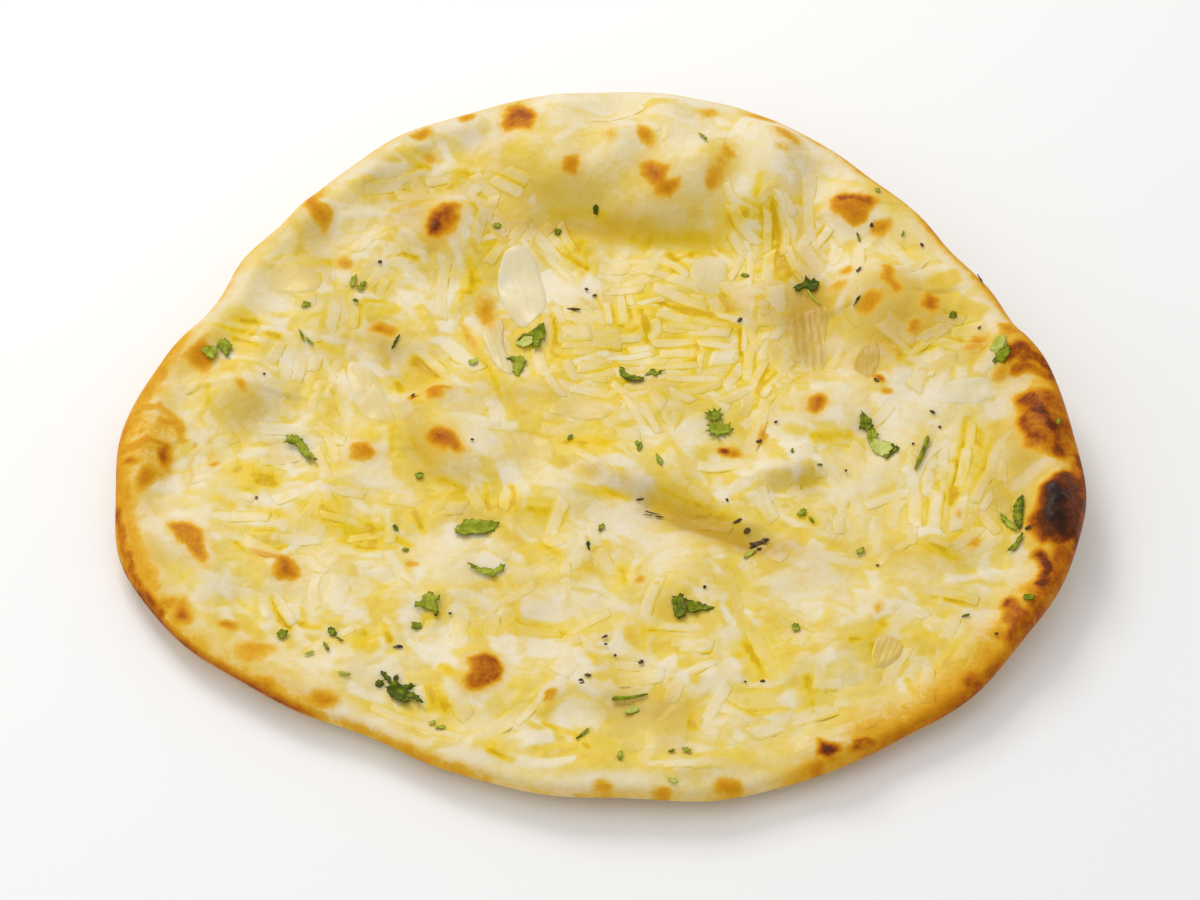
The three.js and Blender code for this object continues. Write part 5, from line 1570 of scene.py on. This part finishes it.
def makePetal(number, place, rise, plain, warmthAndShade, veins, corners):
    outline = anticlockwise(rounded(np.add(corners, place[:2]), petalMesh["roundings"]))
    middle = outline.mean(0)
    outline = outline - middle

    def topAt(x, y, ring):
        ripple = petalMesh["ripple"] * (softPattern(x, y, 5, 30 + number) - 0.5)
        return skinHeight(x, y) + (rise + ripple) * np.sqrt(np.clip(1 - ring ** 4, 0, 1)) - 0.15

    def lowAt(x, y, ring):
        return topHeight(x, y) - petalMesh["sunk"] * (0.4 + 0.6 * ring) - 0.4

    points, faces, local, ring = roundPatch(outline, middle, petalMesh["rings"], topAt, lowAt)
    across = acrossOf(local, outline)
    edge = 0.06 + 0.6 * (1 - plain)  # plainer pieces keep a sharper edge
    shown = plain * np.clip((1 - ring) / edge, 0, 1)
    return makeObject(f"petal_{number}", points, faces, {
        "across": across / np.abs(across).max(), "shown": shown, "warmthAndShade": np.full(len(points), warmthAndShade),
        "veins": np.full(len(points), veins), **stainsAt(points[:, 0], points[:, 1]),
    })


onionPetal = petalMaterial()
petalPieces = [makePetal(i + 1, petals[i], *form) for i, form in enumerate(petalForms)]
for piece in petalPieces:
    piece.data.materials.append(onionPetal)
print("petals made:", len(petalPieces))


# Coriander, part by part: the leaf's number, brightness and outline from the leaf's place.
leafForms = (
    (1, 0.45, ((-2.4, 1.7), (-4.1, 2.1), (-3, 3.1), (-4.2, 4.3), (-2.6, 4.3), (-2.8, 6.1), (-1.7, 5.1),
      (-1, 7.5), (-0.4, 5.3), (1.4, 6.3), (0.4, 4.5), (2.1, 3.7), (0.5, 3.1), (1.4, 1.5), (-0.2, 2),
      (-0.8, 0.7))),
    (1, 0.52, ((-1.2, 0.9), (0.4, -0.1), (1.6, 1.1), (2, -0.5), (4.4, 0.6), (3.4, -1.2), (5.2, -1.9),
      (3.5, -2.7), (4.2, -4.5), (2.4, -3.9), (2, -6.1), (0.8, -4.3), (-0.4, -7.3), (-0.8, -4.5),
      (-2.8, -5.7), (-2.1, -3.7), (-4.2, -3.7), (-2.4, -2.3), (-3.7, -1.1), (-2, -0.9))),
    (2, 0.02, ((-2.5, 0.3), (-0.2, 1), (0.2, 2.8), (0.9, 1.2), (3, 1.2), (4.2, -0.4), (3.4, -2.4), (2, -3),
      (0.6, -1), (-1, -0.6), (-2, -1.8), (-3.6, -2), (-3, -0.8), (-4, -0.2))),
    (3, 0.28, ((-6, 3), (-4.8, 2.4), (-4.2, 0.4), (-3, -0.6), (-1.2, -0.6), (0.2, -1.2), (1.4, -2),
      (1.6, -3.4), (0, -4), (-2, -3.8), (-4, -2.5), (-5.6, -0.6), (-6.2, 1.2))),
    (3, 0.45, ((4, 1.6), (5.1, 1.5), (5.5, 0.4), (7, 0.9), (8.8, 1.2), (7.2, 0), (6, -0.6), (5.4, -1.9),
      (4.6, -0.6), (3.2, -0.6), (1.8, -1), (3, 0.3))),
    (4, 1.1, ((-6, -2.2), (-5.6, -0.4), (-4, 0.6), (-1, 1), (-0.4, -1), (-0.8, -3), (-2, -4.2), (-4, -4))),
    (4, 0.3, ((-5.8, -0.8), (-4, 0.9), (-0.4, 1.4), (1.6, 3), (3.2, 3.5), (3.4, 1), (3, -1), (4, -3),
      (2.4, -1.6), (1.8, -3), (1.8, -6), (0.6, -5), (-0.8, -5.8), (-0.2, -2.8), (-0.8, -0.1), (-3, 0))),
    (5, 0.5, ((-3.3, 4), (-1.5, 5), (1, 5), (2.1, 4), (3.1, 1.6), (2.1, 1.4), (1.9, -0.4), (1.2, -2),
      (0.5, -4), (-0.5, -3), (-1.5, -2), (-1.3, 0), (-0.8, 2), (-1.5, 3.3), (-3, 3.2))),
    (6, 0.5, ((0.5, -0.5), (1.1, 2), (2.5, 4), (3.5, 3), (4.7, 1.5), (5.1, -0.6), (4.2, -1), (4.3, -3.5),
      (3.5, -4.4), (2.9, -2.6), (1.9, -1))),
    (6, 0.7, ((0.5, -0.6), (-1, -1), (-2.5, -1.8), (-4.3, -3), (-3.1, -3.8), (-2.5, -5), (-1.5, -4.8),
      (-1.1, -6.2), (0.1, -5), (0.7, -2.8))),
    (7, 0.5, ((-5, 5.2), (-3, 5.6), (-1.5, 5.2), (0.2, 4.2), (1.7, 2), (3.5, -1), (5.6, -4.8), (4.7, -5),
      (3.4, -3), (3.2, -5), (1.7, -2.5), (0, 0), (-1.5, 2.2), (-3, 2.7), (-5.8, 3), (-4.6, 4))),
    (8, 0.52, ((-7.2, 0), (-6.2, 1.2), (-5, 1.6), (-4.4, 2.9), (-2, 3.1), (1, 2.6), (4, 2.4), (6.6, 1.5),
      (5.6, 0.2), (5, -1.2), (3.4, -1.6), (2.2, -2.5), (0, -2.7), (-2.4, -2.5), (-4, -3.2), (-5.4, -2.6),
      (-7, -2), (-6.6, -1))),
    (9, 0.62, ((-5.7, 1.4), (-4, 0.4), (0, -0.1), (3, 0), (4.4, 1.6), (5.7, 1.1), (5, -0.5), (3.5, -1.2),
      (2.2, -3), (0, -2.2), (-2.5, -1.4), (-4.5, -0.4))),
    (10, 0.48, ((0, 3), (1.2, 2.2), (1.5, 0.8), (3.7, 0.8), (3.2, -0.8), (2, -1), (2.8, -2.5), (3.4, -5),
      (2.2, -5.6), (1.6, -3.6), (0, -3.4), (-1.5, -2.6), (-4, -2.8), (-3.6, -1.2), (-1.8, -0.8),
      (-1.6, 1), (-0.8, 1.8))),
    (11, 0.12, ((-4.4, 0.5), (-2.8, 0.6), (-1.6, 3), (-0.6, 3.4), (-0.6, 1), (1, 0.2), (3, 0.8), (4.7, 0),
      (3, -0.8), (2, -1.4), (4, -2.1), (5.7, -3.8), (7.2, -6.8), (5.5, -6), (4, -4.4), (2.6, -4),
      (3.2, -6.2), (1.5, -6.3), (-0.5, -5), (-2.5, -3.3), (-3.5, -1.3))),
    (11, 0.15, ((-5.7, 5.6), (-4.4, 5), (-3, 3), (-2.4, 1.2), (-3.5, 1.8), (-4.5, 3), (-5.6, 4.4))),
    (11, 0.05, ((-7, 2), (-6.2, 2.8), (-5, 2.5), (-4.8, 1.3), (-6, 0.4), (-7.2, 1))),
    (12, 0.2, ((-5.8, 3.7), (-4, 3.5), (-3.2, 4.7), (-2.4, 3.9), (-2.4, 1.5), (-1.6, -1), (-2.2, -3.8),
      (-4, -4.5), (-5.2, -3.5), (-5.4, -0.5), (-5.8, 1.5))),
    (12, 0.24, ((-2.2, 2.6), (-0.5, 1.7), (2, 1.3), (4, 0.6), (6.8, -0.5), (4.5, -1.8), (2.5, -1.5),
      (0.8, -2.9), (-1, -1.5), (-1.5, 0))),
    (13, 0.3, ((-4, 9.2), (-3, 7.2), (-1.6, 5.8), (-0.8, 3), (-2.5, 2), (-4, 2.2), (-5.4, 1.8), (-5, 4),
      (-4.7, 6.5))),
    (13, 0.55, ((-3, 2.4), (-1, 3), (0.6, -0.4), (-0.4, -1.6), (-1.6, -3), (-2.4, -3.6), (-2.8, -1))),
    (13, 1.15, ((-0.6, -1.9), (2, -2.6), (3.8, -4.6), (4.4, -7), (3.2, -9), (1, -9.2), (-1, -7.6),
      (-2.1, -5), (-2, -3.6))),
    (13, 0.2, ((3.8, -4.2), (4.8, -4.8), (5, -6.2), (6.2, -8), (4.5, -9), (3, -10), (2, -10.8), (1.6, -10),
      (3.2, -8.6), (4, -6.8))),
    (15, 1.05, ((-3.1, 2.1), (-1.5, 3.9), (0.5, 4.1), (1.7, 2.3), (0.9, 0.1), (-1.5, -0.5))),
    (15, 0.45, ((-2.5, -1.9), (-0.9, 0.1), (0.5, -0.5), (2.1, 0.5), (2.7, -2.1), (1.5, -2.9), (0.5, -4.3),
      (-0.5, -2.9), (-1.9, -2.9))),
    (16, 0.26, ((3.8, 7.4), (3.4, 3), (2.6, -2), (2, -6), (1, -7.4), (0.2, -4), (0, -1), (0.5, 3),
      (2, 5.4))),
    (16, 0.66, ((-4.2, 1.4), (-2.4, -1), (-0.8, -4), (0.8, -7.4), (-0.4, -7), (-2.2, -5), (-3.6, -2))),
    (17, 0.45, ((3.5, 2.5), (2.9, -0.1), (0.9, -2.5), (-2.3, -3.3), (-0.2, -1.5), (1.9, 1.1))),
)
# Stalks: the node's number, three points of the line, thickness at both ends and brightness.
stalkForms = {
    2: ((70.5, 57.5), (72, 54), (74.5, 49.5), 0.9, 0.4, 0.9),
    14: ((104.8, -10.6), (103.8, -15.5), (99.9, -23.9), 1.5, 1.3, 0.42),
    18: ((5, -111.7), (10, -110.8), (15.5, -109), 1.5, 0.7, 0.42),
}
# Small flecks of chopped leaf: x, y, length, width, turn and brightness.
herbFlecks = (
    (-40, 26, 4, 3, 60, 0.9), (-80.3, 57.8, 6.4, 1.8, 80, 0.6), (-77, 56.6, 3.6, 1.8, 60, 0.5),
    (-78, 54.6, 3, 1.8, -10, 0.55), (-79, 49, 2, 1.4, 0, 0.3), (-95, 44.5, 3, 2.4, 30, 0.5),
    (-95.5, 32, 5, 1.2, -70, 0.6), (-93, 30, 4, 1, -40, 0.7), (-65.5, 35, 7, 0.8, 68, 0.1),
    (-55, -22.5, 3.4, 2.8, 20, 0.4), (-61.5, -44, 3.4, 1.8, -60, 0.3), (-58, -53, 2.4, 1.6, 20, 0.6),
    (-53, -84, 4, 2.6, -15, 0.45), (-93, -86.5, 3.8, 3.4, 40, 0.4), (-78, -86.5, 4.5, 2.4, -65, 0.3),
    (-75.5, -89.5, 3, 0.8, -35, 0.3), (-79.5, -92, 4.5, 1.2, -65, 0.5), (-84.5, -94, 3.2, 1.4, 20, 0.7),
    (-44.5, -121, 3.2, 1.8, 0, 0.6), (-47, -119, 2.4, 1.6, 30, 0.9), (-73.5, -102.5, 4, 1.3, 0, 0.8),
    (2, -44.5, 4, 1.6, 72, 0.5), (14, -12, 6.5, 1.6, 80, 0.5), (13.3, -10, 3, 1.4, 100, 0.6),
    (20, -18.5, 6.5, 2, -75, 0.6), (-8, -6.5, 2.8, 1.6, 60, 0.35), (36.8, 113, 6, 1.6, -65, 0.5),
    (0, 93, 3.4, 2, 80, -0.1), (-33.3, 86, 3, 2.4, 20, 0.6), (-12.8, 85.3, 2.4, 2.2, 0, 0.4),
    (50.2, 65, 3.4, 1.6, -20, 0.3), (95, 90, 3.4, 1.8, 90, 0.7), (116, 35, 2.8, 2.4, 40, 0.4),
    (94.5, -15, 2.4, 2, 0, 0.1), (128.8, -79.3, 4, 2.6, 0, 0.35), (64, -39.5, 3.4, 2.4, 30, 0.5),
    (66.6, -42.5, 3.6, 1, -60, 0.4), (81, -55, 4, 2.2, 40, 0.6), (59.8, -84, 2.6, 4.2, 0, 0.6),
    (110.3, -82.3, 3.4, 1, 22, 0.4), (11, -115, 5, 3, 30, 0.95), (-3.5, -124.5, 5, 1.2, 48, 0.4),
    (22, -130.8, 2.6, 1.2, 10, 0.4), (26.3, -130.5, 3.4, 2, -30, 0.5), (7.3, -133, 4.2, 1.6, 80, 0.7),
    (22, -142, 3.6, 1.4, -15, 1), (47, -54.5, 7.5, 2, 50, 0.75), (62, -15, 3.5, 0.9, 85, 0.4),
    (70.5, -20.5, 1.8, 1, 0, 0.4), (-2.2, -52.5, 3.4, 1, -75, 0.1), (144.5, -13, 3.4, 1.4, 70, 0.5),
    (85.5, 44.5, 3, 0.7, 40, 0.2), (88, 73, 4, 0.8, -75, 0.4), (102.3, 71, 1.6, 0.8, 70, 0.5),
)
leafSheet = {"step": 0.75, "tooth": 0.27, "thickness": 0.28, "lift": 0.85, "crumple": 0.8}
fleckSheet = {"step": 0.55, "tooth": 0.08, "thickness": 0.25, "lift": 0.75, "crumple": 0.5}
leafLook = {
    "dark": colour(66, 78, 8),
    "mid": colour(128, 138, 16),
    "bright": colour(172, 180, 54),
    "pale": colour(204, 206, 118),
    "shader": {"Roughness": 0.5, "Specular IOR Level": 0.1},
}


def leafMaterial():
    material, tree, shader, position = newMaterial("corianderLeaf", leafLook["shader"])
    bright, across, edge = (readAttribute(tree, name) for name in ("bright", "across", "edge"))
    cloud = remap(tree, noise(tree, position, 2.4, 3.0, 0.65), 0.3, 0.7, -0.3, 0.3)
    rib = maths(tree, "SUBTRACT", 1.0, remap(tree, maths(tree, "ABSOLUTE", across), 0.0, 0.16), clamp=True)
    darker = times(tree, remap(tree, edge, 0.72, 1.0), 0.22)
    lightness = maths(tree, "SUBTRACT", plus(tree, bright, cloud, times(tree, rib, 0.12)), darker)
    tint = ramp(tree, times(tree, lightness, 0.8), (
        (0.0, leafLook["dark"]), (0.3, leafLook["mid"]), (0.62, leafLook["bright"]), (1.0, leafLook["pale"]),
    ))
    relief = plus(tree, noise(tree, position, 1.4, 2.0, 0.6), times(tree, rib, -0.5))
    feed(tree, shader, {"Base Color": tint, "Normal": bumpFrom(tree, relief, 0.0003, 0.6)})
    return material


class Parts:  # gathers several patches into one mesh
    def __init__(self):
        self.points, self.faces, self.values = [], [], {}

    def add(self, points, faces, values):
        self.faces += [tuple(i + len(self.points) for i in face) for face in faces]
        self.points += list(points)
        for key, column in values.items():
            self.values.setdefault(key, []).extend(np.broadcast_to(column, (len(points),)))

    def made(self, name):
        return makeObject(name, self.points, self.faces, self.values)


def toothedOutline(corners, step, tooth, seed):  # walks round the corners in short steps, a little in and out
    points = []
    for a, b in zip(corners, np.roll(corners, -1, axis=0)):
        way = (b - a) / np.hypot(*(b - a))
        count = max(1, round(np.hypot(*(b - a)) / step))
        for i in range(count):
            out = tooth * math.sin(2.4 * len(points) + seed) if i else tooth
            points.append(a + (b - a) * i / count + out * np.array([way[1], -way[0]]))
    return np.array(points)


def chippedOutline(x, y, length, width, turn, seed):  # an uneven chip with five to seven corners
    numbers = np.arange(5 + seed % 3)
    angle = ringAngles(len(numbers)) + 0.6 * (draw(numbers, seed) - 0.5)
    radius = 0.75 + 0.45 * draw(numbers, seed + 50)
    offset = alongAcross(radius * np.cos(angle) * length / 2, radius * np.sin(angle) * width / 2, 0, 0, -turn)
    return np.transpose(offset) + (x, y)


def addLeafSheet(parts, corners, bright, seed, sheet):  # a thin crumpled sheet with the outline given
    outline = toothedOutline(anticlockwise(corners), sheet["step"], sheet["tooth"], seed)
    low, high, count = outline.min(0), outline.max(0), len(outline)

    def toOutline(points):
        return pathDistance(points[:, 0], points[:, 1], [*outline, outline[0]])

    step = sheet["step"]
    gx, gy = np.meshgrid(np.arange(low[0], high[0], step), np.arange(low[1], high[1], step * 0.9))
    inner = np.stack([gx.ravel() + 0.2 * np.sin(gy.ravel() * 5), gy.ravel()], 1)
    inner = inner[toOutline(inner) > 0.45 * step]
    edges = [(i, (i + 1) % count) for i in range(count)]
    corners = [Vector(p) for p in np.concatenate([outline, inner])]
    laid, _, upper, *_ = delaunay_2d_cdt(corners, edges, [], 1, 1e-5)
    flat = np.array([tuple(p) for p in laid])
    total = len(flat)
    spread = flat - flat.mean(0)
    across = acrossOf(spread, spread)
    edge = 1 - np.clip(toOutline(flat) / 1.1, 0, 1)
    crumple = sheet["crumple"] * (softPattern(flat[:, 0], flat[:, 1], 2.6, 40 + seed % 5) - 0.5)
    folded = (0.35 * np.abs(across) + crumple) * (1 - 0.35 * edge)
    top = topHeight(flat[:, 0], flat[:, 1]) + sheet["lift"] + folded
    low = top - sheet["thickness"] * (1 - 0.5 * edge)
    faces = [tuple(face) for face in upper] + [tuple(i + total for i in reversed(face)) for face in upper]
    faces += [(b, a, a + total, b + total) for a, b in boundaryOf(upper)]
    parts.add(np.concatenate([np.column_stack([flat, top]), np.column_stack([flat, low])]), faces, {
        "bright": bright, "edge": np.tile(edge, 2),
        "across": np.tile(across / max(np.abs(across).max(), 0.1), 2),
    })


def boundaryOf(faces):  # the edges that only one face has, in that face's direction
    directed = {(face[i], face[(i + 1) % len(face)]) for face in faces for i in range(len(face))}
    return [(a, b) for a, b in directed if (b, a) not in directed]


stalkMesh = {"steps": 9, "sides": 8, "lift": 0.55, "ends": 0.6}


def addStalk(parts, start, middle, end, thick, thin, bright):
    steps, sides = stalkMesh["steps"], stalkMesh["sides"]
    t = np.linspace(0, 1, steps)[:, None]
    path = (1 - t) ** 2 * np.array(start) + 2 * t * (1 - t) * np.array(middle) + t ** 2 * np.array(end)
    radius = (thick + (thin - thick) * t) / 2
    radius[[0, -1]] *= stalkMesh["ends"]
    way = np.gradient(path, axis=0)
    way /= np.hypot(way[:, 0], way[:, 1])[:, None]
    around = ringAngles(sides)
    x = path[:, :1] - way[:, 1:] * radius * np.cos(around)
    y = path[:, 1:] + way[:, :1] * radius * np.cos(around)
    z = topHeight(path[:, :1], path[:, 1:]) + stalkMesh["lift"] + radius * (1 + np.sin(around))
    faces = [
        (i * sides + j, i * sides + (j + 1) % sides, (i + 1) * sides + (j + 1) % sides, (i + 1) * sides + j)
        for i in range(steps - 1) for j in range(sides)
    ]
    faces += [tuple(reversed(range(sides))), tuple(range((steps - 1) * sides, steps * sides))]
    parts.add(np.stack([x, y, z], 2).reshape(-1, 3), faces, {"bright": bright, "across": 0.5, "edge": 0.5})


corianderLeaf = leafMaterial()
leafPieces = []
for number, place in enumerate(leaves, 1):
    parts = Parts()
    for i, (_, bright, corners) in enumerate(part for part in leafForms if part[0] == number):
        addLeafSheet(parts, np.add(corners, place[:2]), bright, number * 3 + 2 * i, leafSheet)
    if number in stalkForms:
        addStalk(parts, *stalkForms[number])
    leafPieces.append(parts.made(f"leaf_{number}"))


def scatterChips(name, rows, seed, sheet):  # each row: x, y, length, width, turn and brightness
    parts = Parts()
    for i, (*chip, bright) in enumerate(rows):
        addLeafSheet(parts, chippedOutline(*chip, i + seed), bright, i, sheet)
    return parts.made(name)


herbPiece = scatterChips("herb_flecks", herbFlecks, 0, fleckSheet)
for piece in (*leafPieces, herbPiece):
    piece.data.materials.append(corianderLeaf)
print("leaves made:", len(leafPieces), "and flecks:", len(herbFlecks))


# Dark specks of singed crumb: x, y, length, width and turn.
darkSpecks = (
    (-72, 67, 1.6, 1.2, 20), (-7, 50, 6, 1, 0), (-3, 59.3, 1.4, 1.1, 0), (-0.3, 56.6, 1.8, 1.1, 20),
    (47.5, 44, 1.8, 1.3, 30), (92.3, 76, 1.8, 1.2, -30), (108, 65.5, 2, 0.9, -60),
    (86.8, 56.5, 2.6, 1.2, 50), (107, -1.3, 2, 1, -30), (109, -6.8, 1.2, 1, 0), (52, -7.5, 2, 1.3, 20),
    (78.6, -21.8, 1, 0.9, 0), (57.5, -1, 1.2, 0.8, 0), (18, -35.3, 4.5, 0.6, -5), (20, -36.8, 3.6, 0.8, 5),
    (16.3, -37, 3, 0.4, 10), (14, -31, 2.4, 0.6, 10), (41, -33.5, 1.6, 0.8, -60), (44, -41, 2.6, 1.1, 15),
    (47, -44.2, 2.4, 1.8, 20), (50.5, -48, 6.5, 1.6, 5), (49, -49.3, 5.5, 1.3, 30),
    (50.5, -50.5, 2, 1.4, 60), (52.5, -47.5, 2.4, 1, -20), (-2, -51.6, 2.6, 1, -80),
    (-58, -92, 3.4, 1.2, 8), (3, -88.3, 2.4, 0.8, 30), (3.2, -91.2, 1.2, 0.7, 20), (6, -95, 0.9, 0.8, 0),
    (13.5, -97.3, 2.2, 1.6, 40), (-2, -104, 2.6, 1.4, -5), (-4, -106.5, 2.2, 1.5, -50),
    (49, -105, 1.5, 1, 0), (44, -105.3, 1, 0.6, 0), (-58.2, 7.6, 1.8, 1.1, 60), (118.3, -91, 1.2, 1.1, 0),
    (33, -69.3, 1.2, 0.9, 0), (-47.5, -80, 1.2, 0.9, 0), (-43.3, -79.6, 1.2, 0.9, 0),
    (85.5, -62, 1, 0.8, 0), (123.8, 28.7, 1, 0.8, 0), (131.5, -51.5, 2, 1.4, 0), (90.3, 13, 2.2, 1, -40),
    (-106, 13.5, 1.2, 0.8, 40), (-38.6, -13.5, 1.2, 0.8, 0), (100, -13.5, 1, 0.8, 0),
    (-105, -34, 0.9, 0.8, 0), (125.5, 48, 4.5, 0.6, -70),
)
speckSheet = {"step": 0.4, "tooth": 0.05, "thickness": 0.35, "lift": 0.72, "crumple": 0.3}
speckLook = {
    "dark": colour(58, 38, 22), "worn": colour(120, 88, 44),
    "shader": {"Roughness": 0.6, "Specular IOR Level": 0.3},
}


def speckMaterial():
    material, tree, shader, position = newMaterial("singedCrumb", speckLook["shader"])
    patch = remap(tree, noise(tree, position, 1.2, 2.0, 0.6), 0.45, 0.7)
    feed(tree, shader, {
        "Base Color": mixColours(tree, patch, speckLook["dark"], speckLook["worn"]),
        "Normal": bumpFrom(tree, noise(tree, position, 0.6, 2.0, 0.6), 0.0002, 0.6),
    })
    return material


speckPiece = scatterChips("dark_specks", [(*row, 0) for row in darkSpecks], 100, speckSheet)
speckPiece.data.materials.append(speckMaterial())
print("dark specks made:", len(darkSpecks))

for piece in (bread, onionSlivers, herbPiece, speckPiece, *petalPieces, *leafPieces):
    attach(piece, "root")
for number, piece in enumerate(petalPieces, 1):
    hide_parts(f"onion_petal_{number}")
for number, piece in enumerate(leafPieces, 1):
    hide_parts(f"coriander_{number}")
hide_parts("naan_bread")
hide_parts("naan_bread")


# Floor, lights and camera.
studio = {
    "floor": colour(250, 250, 250),
    "world": 0.575,
    "lights": (  # place in metres, size, power, colour
        ("keyLight", (-0.45, 0.85, 0.95), 0.6, 7.8, (1.0, 0.97, 0.92)),
        ("fillLight", (-0.95, -0.5, 0.9), 1.0, 2.32, (1.0, 1.0, 1.0)),
        ("topLight", (0.0, 0.0, 1.4), 1.4, 1.8, (1.0, 1.0, 1.0)),
    ),
}


def makeFloor():
    mesh = bpy.data.meshes.new("floor")
    mesh.from_pydata([(-6, -6, 0), (6, -6, 0), (6, 6, 0), (-6, 6, 0)], [], [(0, 1, 2, 3)])
    mesh.materials.append(newMaterial("paleFloor", {"Base Color": studio["floor"], "Roughness": 0.8})[0])
    return addObject("floor", mesh)


def makeLights():
    for name, place, size, power, tint in studio["lights"]:
        lamp = bpy.data.lights.new(name, "AREA")
        lamp.size, lamp.energy, lamp.color = size, power, tint
        made = addObject(name, lamp)
        made.location = place
        made.rotation_euler = (-Vector(place)).to_track_quat("-Z", "Y").to_euler()
    world = bpy.data.worlds.new("softRoom")
    world.use_nodes = True
    background = world.node_tree.nodes["Background"]
    background.inputs["Color"].default_value = (1, 1, 1, 1)
    background.inputs["Strength"].default_value = studio["world"]
    bpy.context.scene.world = world


view = {"aim": (1.5, -11.7, 7.6), "distance": 850, "height": 48, "lens": 80.6}  # millimetres and degrees


def makeCamera():
    aim = Vector(inFrame([view["aim"]])[0])
    up = math.radians(view["height"])
    camera = bpy.data.cameras.new("photoCamera")
    camera.lens = view["lens"]
    camera.clip_start = 0.01
    made = addObject("photoCamera", camera)
    made.location = aim + Vector((0, -math.cos(up), math.sin(up))) * view["distance"] / 1000
    made.rotation_euler = (aim - made.location).to_track_quat("-Z", "Y").to_euler()
    bpy.context.scene.camera = made


floor = makeFloor()
makeLights()
makeCamera()
bpy.context.scene.view_settings.view_transform = "Standard"
print("floor, lights and camera placed")
